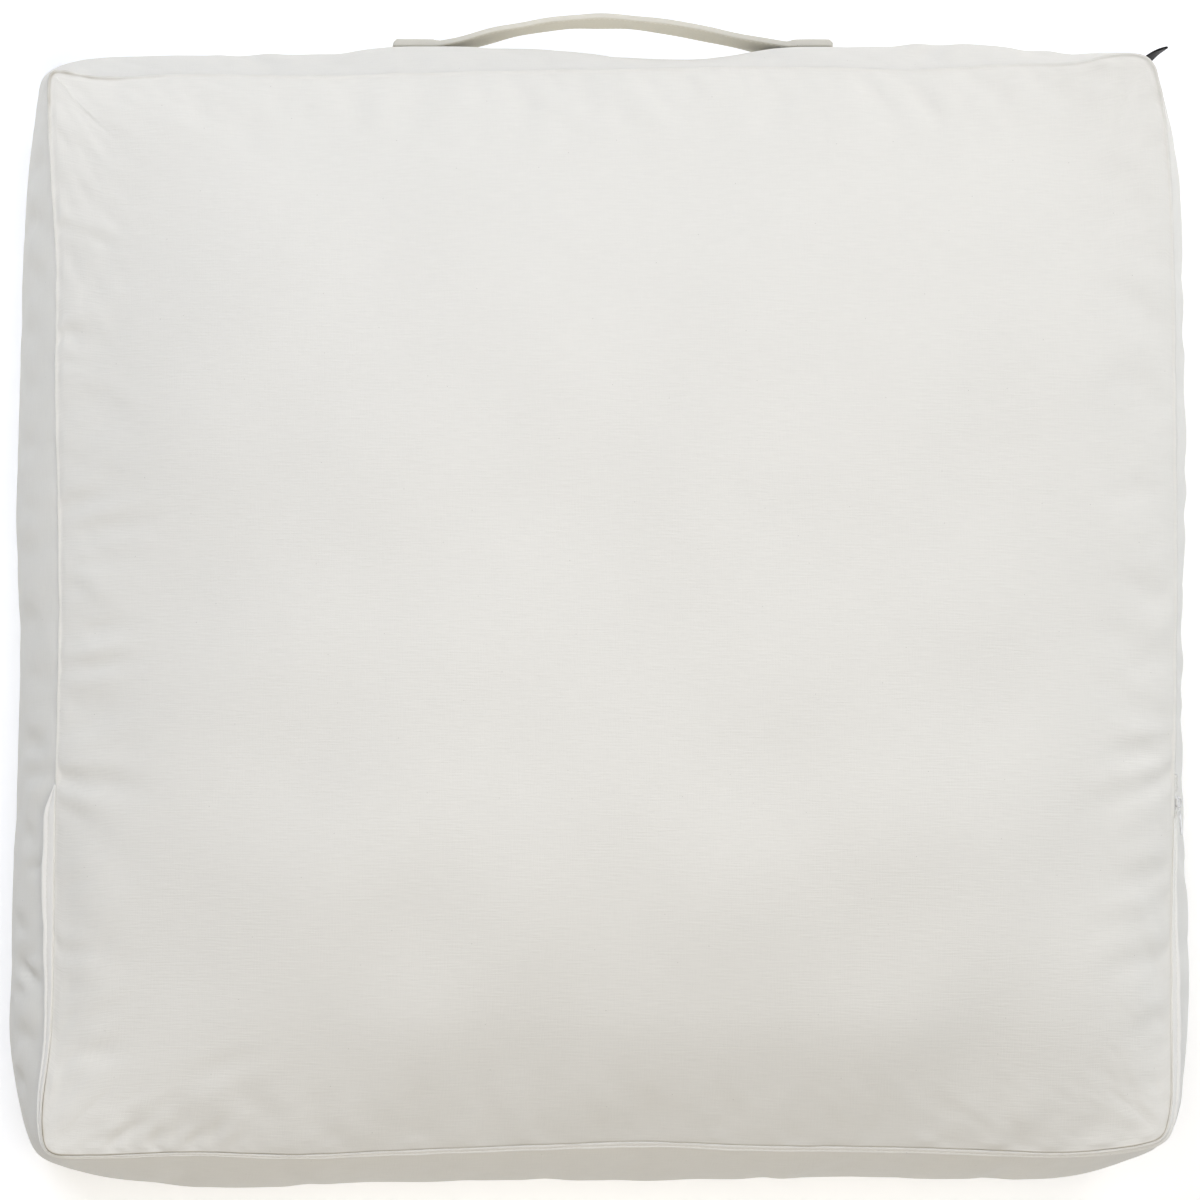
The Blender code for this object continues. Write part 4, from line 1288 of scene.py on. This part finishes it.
# %% Slider
SLIDER_Y = -0.1135
SLIDER_LENGTH = 8.5 * MM
SLIDER_WIDTH = 5.5 * MM
SLIDER_THICKNESS = 2.6 * MM
SLIDER_DROP = 3.2 * MM
TOUCH_GAP = 0.35 * MM


def zip_frame(y, drop):
    """Place on the right band, with directions towards the front, up the band and outwards."""
    place, along, down, outward = (v[0] for v in band_frame(np.array([side_s(1, y)]), drop))
    return place, -along, -down, outward


def rounded_ring(half_x, half_y, power, taper=0.0, count=28):
    """A rounded rectangle: cosine and sine, each raised to a power, narrower towards +x."""
    angle = np.arange(count) * FULL_TURN / count
    x = np.sign(np.cos(angle)) * np.abs(np.cos(angle)) ** power
    y = np.sign(np.sin(angle)) * np.abs(np.sin(angle)) ** power
    return np.stack([x * half_x, y * half_y * (1 - taper * (x + 1) / 2)], -1)


def placed(points, zip_place):
    """Local points (forward, up the band, outwards) put in their place."""
    origin, forward, up, outward = zip_place
    return origin + points[..., :1] * forward + points[..., 1:2] * up + points[..., 2:] * outward


def stacked(name, layers, zip_place, taper, power=0.45):
    """A solid from rounded rings stacked outwards: rows of (height, half x, half y)."""
    rings = []
    for height, half_x, half_y in layers:
        ring = rounded_ring(half_x, half_y, power, taper)
        rings.append(np.column_stack([ring, np.full(len(ring), height)]))
    return carried(name, placed(np.stack(rings), zip_place))


def rod(name, path, radius, zip_place, flat=1.0, sides=10):
    """A round or flattened rod along local points."""
    along = unit(np.gradient(path, axis=0))
    side = unit(np.cross(along, np.array([0.0, 0.0, 1.0]) + 1e-4))
    top = np.cross(side, along)
    ring = ring_of(side * flat, top, sides) * radius
    return carried(name, placed(path[:, None] + ring, zip_place))


slider_at = zip_frame(SLIDER_Y, SLIDER_DROP)
half_l, half_w = SLIDER_LENGTH / 2, SLIDER_WIDTH / 2
WING = 0.62 * MM
WING_TAPER = 0.28  # narrower towards the pull
BRIDGE_HEIGHT = 1.5 * MM
BRIDGE_WIRE = 0.5 * MM
# Rows of height, length and width, as shares of the wing's: its edges are rounded.
WING_LAYERS = ((0.0, 0.88, 0.84), (0.12, 0.97, 0.96), (0.3, 1.0, 1.0),
               (0.7, 1.0, 1.0), (0.88, 0.97, 0.96), (1.0, 0.88, 0.84))
wing_top = TOUCH_GAP + SLIDER_THICKNESS - WING
lower_wing, upper_wing = ([(foot + k * WING, x * half_l, y * half_w) for k, x, y in WING_LAYERS]
                          for foot in (TOUCH_GAP, wing_top))
waist = [(height, half_l * 0.55, half_w * 0.42)
         for height in (TOUCH_GAP + 0.9 * WING, wing_top + 0.1 * WING)]
arch_t = np.linspace(0, math.pi, 15)
bridge_path = np.stack([-np.cos(arch_t) * half_l * 0.62, 0 * arch_t,
                        wing_top + WING * 0.6 + np.sin(arch_t) ** 0.6 * BRIDGE_HEIGHT], -1)
slider = merged("zip_slider_body", [
    stacked("lower_wing", lower_wing, slider_at, WING_TAPER),
    stacked("upper_wing", upper_wing, slider_at, WING_TAPER),
    stacked("waist", waist, slider_at, 0.2, 0.8),
    rod("bridge", bridge_path, BRIDGE_WIRE, slider_at, 1.5)])
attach(slider, "root")
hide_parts("zip_slider")
print("slider faces", len(slider.data.polygons))

# %% Pull
PULL_LENGTH = 16 * MM
PULL_NECK = 2.4 * MM
PULL_TIP = 4.2 * MM
PULL_THICKNESS = 1.0 * MM
PULL_SWING = math.radians(26)  # how far the pull hangs off the seam's line
PULL_OVER_LIP = 1.3 * MM
PULL_SIDES = 16
EYE_LENGTH = 4.2 * MM
EYE_WIRE = 0.42 * MM

pull_start = SLIDER_Y - SLIDER_LENGTH / 2 - TOUCH_GAP
eye_place, forward, up_band, outward = zip_frame(pull_start, SLIDER_DROP)
swing = math.cos(PULL_SWING) * forward - math.sin(PULL_SWING) * up_band
pull_at = (eye_place + swing * PULL_LENGTH / 2, swing, np.cross(outward, swing), outward)
pull_height = LIP_THICKNESS + PULL_OVER_LIP + PULL_THICKNESS / 2
pull_x = np.concatenate([[-PULL_LENGTH / 2 + EYE_LENGTH * 0.75],
                         np.linspace(-PULL_LENGTH / 2 + EYE_LENGTH, PULL_LENGTH / 2, 16)])
pull_t = (pull_x + PULL_LENGTH / 2) / PULL_LENGTH
round_tip = np.sqrt(np.clip(1 - np.clip((pull_t - 0.9) / 0.1, 0, 1) ** 2.2, 0.02, 1))
half_width = (PULL_NECK + (PULL_TIP - PULL_NECK) * pull_t) / 2 * round_tip
across_pull, over_pull = rounded_ring(1.0, 1.0, 0.4, count=PULL_SIDES).T
thin = 1 - 0.25 * bell(pull_t - 0.62, 0.22)  # the dished middle of the plate
pull_plate = np.stack([np.repeat(pull_x[:, None], PULL_SIDES, 1),
                       half_width[:, None] * across_pull,
                       pull_height + thin[:, None] * PULL_THICKNESS / 2 * over_pull], -1)
eye_t = np.linspace(0, FULL_TURN, 29)
eye_middle = -PULL_LENGTH / 2 + EYE_LENGTH / 2
eye_path = np.stack([eye_middle + np.cos(eye_t) * EYE_LENGTH / 2, np.sin(eye_t) * PULL_NECK / 2.2,
                     pull_height + 0 * eye_t], -1)
pull = merged("zip_pull_tab", [carried("plate", placed(pull_plate, pull_at)),
                               rod("eye", eye_path, EYE_WIRE, pull_at)])
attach(pull, "root")
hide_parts("zip_pull")
print(f"pull {PULL_LENGTH / MM:.0f} mm, {math.degrees(PULL_SWING):.0f} degrees off the seam")

# %% Tape loop
TAPE_Y = -0.1025
TAPE_DROP = 1.6 * MM
TAPE_LOOP_LENGTH = 11 * MM
TAPE_LOOP_HALF_WIDTH = 1.3 * MM
TAPE_RADIUS = 0.62 * MM
TAPE_STAND, TAPE_WAVE = 0.75 * MM, 0.25 * MM  # off the band, and how much that varies
TAPE_STRAIGHTS = 11  # places along each straight side of the loop

tape_at = zip_frame(TAPE_Y, TAPE_DROP)
straight = TAPE_LOOP_LENGTH / 2 - TAPE_LOOP_HALF_WIDTH
bend = -math.pi / 2 - np.linspace(0, math.pi, 15)
run_out = np.linspace(straight, -straight, TAPE_STRAIGHTS + 1)[:-1]
one_side = np.full(TAPE_STRAIGHTS, TAPE_LOOP_HALF_WIDTH)
tape_x = np.concatenate([run_out, -straight + TAPE_LOOP_HALF_WIDTH * np.cos(bend), run_out[::-1]])
tape_y = np.concatenate([-one_side, TAPE_LOOP_HALF_WIDTH * np.sin(bend), one_side])
tape_height = TOUCH_GAP + TAPE_STAND + TAPE_WAVE * np.sin(tape_x / MM)
tape_path = np.stack([tape_x, tape_y, tape_height], -1)
tape = rod("zip_tape_loop", tape_path, TAPE_RADIUS, tape_at, 0.8, 12)
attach(tape, "root")
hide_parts("zip_tape_end")
print("tape loop faces", len(tape.data.polygons))

# %% [markdown]
# ## The ribbon tab
#
# A short black satin ribbon is folded in half and caught in the seam at the rear right corner.
# It lies over at the seam and stands on its edge at the fold. It is left bare. The ribbon is
# one thin closed strip: out along its path, round the fold, and back, a little apart.

# %% Ribbon tab
TAB_LENGTH = 14.5 * MM
TAB_WIDTH = 10.0 * MM
TAB_START_HEADING = math.radians(48)
TAB_END_HEADING = math.radians(22)
TAB_START_LEAN = math.radians(34)
TAB_PLACES = 25
RIBBON = 0.28 * MM

share = np.linspace(0, 1, TAB_PLACES)
heading = TAB_START_HEADING + (TAB_END_HEADING - TAB_START_HEADING) * share
leaning = TAB_START_LEAN * (1 - share)
forward = np.stack([np.cos(heading), np.sin(heading), 0 * share], -1)
side = np.stack([np.sin(heading), -np.cos(heading), 0 * share], -1)
across_tab = side * np.sin(leaning)[:, None] - np.cos(leaning)[:, None] * np.array([0, 0, 1.0])
steps = forward[1:] * TAB_LENGTH / (TAB_PLACES - 1)
walk = np.concatenate([np.zeros((1, 3)), np.cumsum(steps, axis=0)])
tab_low, tab_high = (np.array(corner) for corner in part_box("label_tab"))
tab_path = walk - walk.mean(axis=0) + (tab_low + tab_high) / 2
facing = unit(np.cross(across_tab, forward))

fold = np.radians(np.array([55, 20, -20, -55]))
half_gap = (0.42 - 0.18 * np.cos(share * 3)) * MM
out_side = tab_path + facing * half_gap[:, None]
back_side = (tab_path - facing * half_gap[:, None])[::-1]
turn_side = (tab_path[-1] + forward[-1] * np.cos(fold)[:, None] * half_gap[-1]
             + facing[-1] * np.sin(fold)[:, None] * half_gap[-1])
ribbon_path = np.concatenate([out_side, turn_side, back_side])
ribbon_across = np.concatenate([across_tab, np.tile(across_tab[-1], (4, 1)), across_tab[::-1]])
ribbon_face = unit(np.cross(ribbon_across, np.gradient(ribbon_path, axis=0)))
ring_across = np.array([-1, -0.97, -0.9, -0.45, 0, 0.45, 0.9, 0.97, 1.0])
ring_high = np.array([0.3, 1.0, 0.75, 0.75, 0.75, 0.75, 0.75, 1.0, 0.3])  # thicker selvedges
ring_x = np.concatenate([ring_across, ring_across[::-1]]) * TAB_WIDTH / 2
ring_y = np.concatenate([ring_high, -ring_high[::-1]]) * RIBBON / 2
tab_rings = (ribbon_path[:, None] + ribbon_across[:, None] * ring_x[:, None]
             + ribbon_face[:, None] * ring_y[:, None])
tab = carried("ribbon_tab", tab_rings)
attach(tab, "root")
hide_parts("label_tab")

# %% Thread ends at the tab
TUFT_THREADS = 9
TUFT_LENGTH = (2.0, 3.6)  # shortest and longest, in mm
TUFT_SPREAD = 1.1 * MM
TUFT_INSIDE = 1.2 * MM  # how far before the ribbon's start they begin
TUFT_RADIUS = 0.2 * MM

tuft_turn = rng.uniform(-0.8, 0.8, TUFT_THREADS)
tuft_start = tab_path[0] - forward[0] * TUFT_INSIDE
tuft_start = tuft_start + rng.uniform(-1, 1, (TUFT_THREADS, 3)) * TUFT_SPREAD
tuft_way = unit(forward[0] + facing[0] * tuft_turn[:, None]
                + rng.uniform(-0.35, 0.35, (TUFT_THREADS, 3)))
tuft_end = tuft_start + tuft_way * rng.uniform(*TUFT_LENGTH, (TUFT_THREADS, 1)) * MM
tuft = thread_mesh("tab_thread_ends", tuft_start, tuft_end,
                   np.tile([0.0, 0.0, 1.0], (TUFT_THREADS, 1)), TUFT_RADIUS)
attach(tuft, "root")
print(TUFT_THREADS, "thread ends")

# %% [markdown]
# ## Materials
#
# A material is a small tree of nodes. One function adds a node with its settings and its
# links, and one turns a colour written as sRGB hex into the linear numbers a shader works in.

# %% Material helpers
def linear(hex_colour):
    """sRGB hex to linear red, green, blue and 1: each channel to the power 2.4, roughly."""
    channels = np.array([int(hex_colour[k:k + 2], 16) for k in (0, 2, 4)]) / 255
    low = channels / 12.92
    high = ((channels + 0.055) / 1.055) ** 2.4
    return (*np.where(channels <= 0.04045, low, high).tolist(), 1.0)


def set_inputs(tree, node, inputs):
    """A node's inputs: each is a value, or another node's output to link."""
    for name, value in inputs.items():
        if isinstance(value, bpy.types.NodeSocket):
            tree.links.new(value, node.inputs[name])
        else:
            node.inputs[name].default_value = value


def add_node(tree, kind, inputs, **settings):
    """A node with its settings and inputs."""
    node = tree.nodes.new(kind)
    for name, value in settings.items():
        setattr(node, name, value)
    set_inputs(tree, node, inputs)
    return node


def new_material(name):
    """An empty material with a Principled surface."""
    material = bpy.data.materials.new(name)
    material.use_nodes = True
    tree = material.node_tree
    return material, tree, tree.nodes["Principled BSDF"]


# %% [markdown]
# ### Plain-woven cotton
#
# The cover is undyed cotton canvas, woven one over one. Hand's-width patches vary a little in
# tone. Thicker lengths of weft, called slubs, show as faint level streaks about 13 mm long and
# a millimetre wide, and the warp shows the same more weakly. A few grey specks of seed husk
# are left in the yarn. The real threads are about 0.35 mm apart, too fine to show, so the
# weave is drawn three times as coarse.
#
# Cotton is rough and scatters light softly, with a weak sheen from its loose fibres.

# %% Plain-woven cotton
COTTON_HEX = "E9E7DF"
LIP_PAINTED_PALE_HEX = "F2F0E9"  # the band's own cotton, painted paler for the light that the lip's raised fold catches
# the cover's cotton, painted darker and warmer as the shade on the strap's inner face
STRAP_PAINTED_SHADE_HEX = "DEDACD"
# warm brown of the painted shade in the seams
SEAM_SHADE_HEX = "A1967F"
SPECK_HEX = "8F8B82"
WARP_SHARE = 0.35  # how much of the slubs runs up the cloth
PATCH_STRENGTH = 0.035
WEAVE_PITCH = 1.05 * MM  # three threads of about 0.35 mm, so that the weave shows
SLUB_LENGTH = 13 * MM
SLUB_WIDTH = 1.0 * MM
SPECK_CELL = 52 * MM
SPECK_RADIUS = 0.33 * MM
# Rows of grain length, grain width and detail, for the weft's slubs, the warp's, and the patches.
COTTON_GRAINS = ((SLUB_LENGTH, SLUB_WIDTH, 2.0), (0.9 * SLUB_WIDTH, 0.8 * SLUB_LENGTH, 1.0),
                 (70 * MM, 55 * MM, 3.0))


def woven_cotton(name, colour_hex, slub_strength, bump_height, seam_shaded):
    """Cotton whose tone, slubs, specks and weave follow the cloth's own coordinates, with painted
    seam shade from the mesh where seam_shaded is set.
    """
    material, tree, surface = new_material(name)
    cloth = add_node(tree, "ShaderNodeUVMap", {}, uv_map="cloth").outputs["UV"]
    grains = []
    for size_x, size_y, detail in COTTON_GRAINS:
        scaled = add_node(tree, "ShaderNodeMapping",
                          {"Vector": cloth, "Scale": (1 / size_x, 1 / size_y, 1)})
        grain = add_node(tree, "ShaderNodeTexNoise",
                         {"Vector": scaled.outputs["Vector"], "Scale": 1.0, "Detail": detail,
                          "Roughness": 0.55}, noise_dimensions="2D")
        grains.append(grain.outputs["Fac"])
    weft, warp, patch = grains

    # Tone: one, plus each noise about its middle value of a half.
    tone = 1 - 0.5 * (slub_strength * (1 + WARP_SHARE) + PATCH_STRENGTH)
    for noise, strength in ((weft, slub_strength), (warp, slub_strength * WARP_SHARE),
                            (patch, PATCH_STRENGTH)):
        tone = add_node(tree, "ShaderNodeMath", {0: noise, 1: strength, 2: tone},
                        operation="MULTIPLY_ADD").outputs["Value"]
    toned = add_node(tree, "ShaderNodeMix", {"Factor": 1.0, "A": linear(colour_hex), "B": tone},
                     data_type="RGBA", blend_type="MULTIPLY")
    colour = toned.outputs["Result"]

    # Specks: a dot in the middle of each cell. Then the painted seam shade, kept on the mesh.
    cells = add_node(tree, "ShaderNodeMapping",
                     {"Vector": cloth, "Scale": (1 / SPECK_CELL, 1 / SPECK_CELL, 1)})
    specks = add_node(tree, "ShaderNodeTexVoronoi",
                      {"Vector": cells.outputs["Vector"], "Scale": 1.0}, voronoi_dimensions="2D")
    speck = add_node(tree, "ShaderNodeMapRange",
                     {"Value": specks.outputs["Distance"], "From Min": SPECK_RADIUS / SPECK_CELL,
                      "From Max": 0.4 * SPECK_RADIUS / SPECK_CELL, "To Min": 0.0, "To Max": 0.45})
    specks_and_shade = [(speck.outputs["Result"], SPECK_HEX)]
    if seam_shaded:
        shade_amount = add_node(tree, "ShaderNodeAttribute", {}, attribute_name="painted_seam_shade")
        specks_and_shade.append((shade_amount.outputs["Fac"], SEAM_SHADE_HEX))
    for share, speck_and_shade_hex in specks_and_shade:
        specked_and_shaded = add_node(tree, "ShaderNodeMix",
                          {"Factor": share, "A": colour, "B": linear(speck_and_shade_hex)}, data_type="RGBA")
        colour = specked_and_shaded.outputs["Result"]

    # Weave: the product of a sine wave along each of the cloth's two directions.
    threads = add_node(tree, "ShaderNodeVectorMath", {0: cloth, 1: (FULL_TURN / WEAVE_PITCH,) * 3},
                       operation="MULTIPLY")
    axes = add_node(tree, "ShaderNodeSeparateXYZ", {"Vector": threads.outputs["Vector"]})
    wave_x, wave_y = (add_node(tree, "ShaderNodeMath", {0: axes.outputs[axis]},
                               operation="SINE").outputs["Value"] for axis in ("X", "Y"))
    weave = add_node(tree, "ShaderNodeMath", {0: wave_x, 1: wave_y},
                     operation="MULTIPLY").outputs["Value"]
    height = 0.0
    for relief, strength in ((warp, 0.5), (weft, 1.5), (weave, 0.1)):
        height = add_node(tree, "ShaderNodeMath", {0: relief, 1: strength, 2: height},
                          operation="MULTIPLY_ADD").outputs["Value"]
    bump = add_node(tree, "ShaderNodeBump",
                    {"Strength": 1.0, "Distance": bump_height, "Height": height})
    set_inputs(tree, surface, {"Base Color": colour, "Normal": bump.outputs["Normal"],
                               "Roughness": 0.92, "Specular IOR Level": 0.2,
                               "Sheen Weight": 0.12, "Sheen Roughness": 0.6})
    return material


COTTONS = (
    (cover, "plain_woven_cotton", COTTON_HEX, 0.055, 0.09 * MM, True),
    (zip_lip, "plain_woven_cotton_lip_painted_pale", LIP_PAINTED_PALE_HEX, 0.055, 0.07 * MM, False),
    (handle, "plain_woven_cotton_strap_painted_shade", STRAP_PAINTED_SHADE_HEX, 0.08, 0.08 * MM, False),
)
for piece, *cotton in COTTONS:
    piece.data.materials.append(woven_cotton(*cotton))
print("cottons", [cotton[1] for cotton in COTTONS])

# %% [markdown]
# ### Sewing thread, enamel, woven tape and satin ribbon
#
# Spun polyester thread is a little glossier than the cotton it sews. White enamel on pressed
# zinc is smooth and hard, so it shows small sharp highlights. Zip tape is a close twill. Satin
# is woven with long floats, so it is dark and glossy along its length, with fine ribs across.

# %% Spun thread
def twisted_thread():
    """Thread: fine slanted ridges from its twist, on Object coordinates."""
    material, tree, surface = new_material("spun_sewing_thread")
    place = add_node(tree, "ShaderNodeTexCoord", {}).outputs["Object"]
    twist = add_node(tree, "ShaderNodeTexWave",
                     {"Vector": place, "Scale": 1 / (1.4 * MM), "Distortion": 1.5},
                     bands_direction="DIAGONAL")
    bump = add_node(tree, "ShaderNodeBump",
                    {"Strength": 0.6, "Distance": 0.05 * MM, "Height": twist.outputs["Fac"]})
    set_inputs(tree, surface, {"Base Color": linear("ECE9E0"), "Normal": bump.outputs["Normal"],
                               "Roughness": 0.6, "Sheen Weight": 0.1})
    return material


thread = twisted_thread()
for piece in (lip_thread, handle_thread, tuft):
    piece.data.materials.append(thread)


# %% Enamel
def white_enamel():
    """Stoved enamel on pressed metal: smooth, with a faint orange-peel unevenness, and worn
    slightly greyer in patches."""
    material, tree, surface = new_material("white_stoved_enamel")
    place = add_node(tree, "ShaderNodeTexCoord", {}).outputs["Object"]
    peel = add_node(tree, "ShaderNodeTexNoise",
                    {"Vector": place, "Scale": 1 / (0.9 * MM), "Detail": 2.0})
    bump = add_node(tree, "ShaderNodeBump",
                    {"Strength": 0.4, "Distance": 0.03 * MM, "Height": peel.outputs["Fac"]})
    worn = add_node(tree, "ShaderNodeTexNoise",
                    {"Vector": place, "Scale": 1 / (4 * MM), "Detail": 3.0})
    tone = add_node(tree, "ShaderNodeValToRGB", {"Fac": worn.outputs["Fac"]})
    for stop, position, stop_hex in zip(tone.color_ramp.elements, (0.3, 0.6), ("C9C7C2", "EDEDEB")):
        stop.position, stop.color = position, linear(stop_hex)
    set_inputs(tree, surface,
               {"Base Color": tone.outputs["Color"], "Normal": bump.outputs["Normal"],
                "Roughness": 0.28, "Coat Weight": 0.35, "Coat Roughness": 0.12})
    return material


enamel = white_enamel()
for piece in (slider, pull):
    piece.data.materials.append(enamel)


# %% Tape and ribbon
def ribbed_cloth(name, colour_hex, dark_hex, pitch, height, roughness, sheen):
    """Close ribs across the piece's length, from its own coordinates, lighter on each rib."""
    material, tree, surface = new_material(name)
    cloth = add_node(tree, "ShaderNodeUVMap", {}, uv_map="cloth").outputs["UV"]
    ribs = add_node(tree, "ShaderNodeTexWave", {"Vector": cloth, "Scale": 1 / pitch / FULL_TURN * 2,
                                                "Distortion": 0.6, "Detail": 1.0},
                    bands_direction="X")
    tone = add_node(tree, "ShaderNodeValToRGB", {"Fac": ribs.outputs["Fac"]})
    for stop, stop_hex in zip(tone.color_ramp.elements, (dark_hex, colour_hex)):
        stop.color = linear(stop_hex)
    bump = add_node(tree, "ShaderNodeBump",
                    {"Strength": 0.8, "Distance": height, "Height": ribs.outputs["Fac"]})
    set_inputs(tree, surface,
               {"Base Color": tone.outputs["Color"], "Normal": bump.outputs["Normal"],
                "Roughness": roughness, "Specular IOR Level": 0.2, "Sheen Weight": sheen})
    return material


RIBBED = (
    (tape, "woven_zip_tape", "F2F1EC", "D8D6CF", 0.8 * MM, 0.06 * MM, 0.8, 0.1),
    (tab, "black_satin_ribbon", "141113", "070607", 0.7 * MM, 0.04 * MM, 0.5, 0.0),
)
for piece, *cloth in RIBBED:
    piece.data.materials.append(ribbed_cloth(*cloth))
print("materials", len(bpy.data.materials))

# %% [markdown]
# ## Floor, light and camera
#
# The pillow lies on a plain pale floor. A large soft disk lights it from high up, a little to
# the front, and weaker ones from the rear and from low on the right and the front fill its
# sides. The lights from the rear make the face fall off gently towards its front edge. The
# camera looks almost straight down, from a long way off, leaning a little to the left and to
# the front.

# %% Floor
FLOOR_HALF = 6
floor_corners = [(x * FLOOR_HALF, y * FLOOR_HALF, 0)
                 for x, y in ((-1, -1), (1, -1), (1, 1), (-1, 1))]
floor_mesh = bpy.data.meshes.new("floor")
floor_mesh.from_pydata(floor_corners, [], [(0, 1, 2, 3)])
floor = add_object("floor", floor_mesh)
floor_paint, floor_tree, floor_surface = new_material("pale_studio_floor")
set_inputs(floor_tree, floor_surface, {"Base Color": linear("FAFAFA"), "Roughness": 0.9,
                                       "Emission Color": (1, 1, 1, 1),
                                       "Emission Strength": 0.285})
floor_mesh.materials.append(floor_paint)

# %% Camera
TARGET = np.array([-0.0003, 0.009, 0.082])
LEAN_LEFT, LEAN_FRONT = math.radians(5.9), math.radians(3.2)
CAMERA_DISTANCE = 5
toward = unit(np.array([-math.tan(LEAN_LEFT), -math.tan(LEAN_FRONT), 1.0]))
camera_right = unit(np.cross((0, 1, 0), toward))
camera_up = np.cross(toward, camera_right)
camera_data = bpy.data.cameras.new("camera")
camera_data.lens = 250
camera_data.sensor_width = 36
camera = bpy.data.objects.new("camera", camera_data)
bpy.context.scene.collection.objects.link(camera)
turn = Matrix((camera_right, camera_up, toward)).transposed().to_4x4()
camera.matrix_world = Matrix.Translation(Vector(TARGET + toward * CAMERA_DISTANCE)) @ turn
bpy.context.scene.camera = camera
bpy.context.scene.view_settings.view_transform = "Standard"

# %% Lights
world = bpy.data.worlds.new("studio")
bpy.context.scene.world = world
world.use_nodes = True
set_inputs(world.node_tree, world.node_tree.nodes["Background"],
           {"Color": (1, 1, 1, 1), "Strength": 0.0})

Light = namedtuple("Light", "name elevation around power")
LIGHTS = (
    Light("high_front", 75, 262, (27.4, 26.2, 24.4)),
    Light("high_rear_left", 62, 135, (7.3, 8.6, 12.2)),
    Light("rear_left", 30, 135, (12.5, 12.6, 12.4)),
    Light("rear_right", 30, 45, (13.0, 12.8, 12.8)),
    Light("low_rear_right", 12, 45, (7.6, 7.3, 7.1)),
    Light("low_right", 12, 0, (5.4, 6.5, 8.3)),
    Light("low_front", 12, 270, (3.9, 3.5, 3.0)),
)
LIGHT_DISTANCE = 2.2
LIGHT_SIZE = 1.4
LIGHT_AIM = Vector((0, 0, 0.1))
for light in LIGHTS:
    data = bpy.data.lights.new(light.name, "AREA")
    data.shape = "DISK"
    data.size = LIGHT_SIZE
    data.energy = max(light.power)
    data.color = [channel / max(light.power) for channel in light.power]
    lamp = bpy.data.objects.new(light.name, data)
    bpy.context.scene.collection.objects.link(lamp)
    high, flat = math.radians(light.elevation), math.radians(light.around)
    way = Vector((math.cos(high) * math.cos(flat), math.cos(high) * math.sin(flat), math.sin(high)))
    lamp.location = LIGHT_AIM + way * LIGHT_DISTANCE
    lamp.rotation_euler = (-way).to_track_quat("-Z", "Y").to_euler()

# %% Finish
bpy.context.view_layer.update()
triangles = {o.name: sum(len(p.vertices) - 2 for p in o.data.polygons)
             for o in bpy.context.scene.objects if o.type == "MESH" and not o.hide_render}
print("triangles", triangles, "in all", sum(triangles.values()))
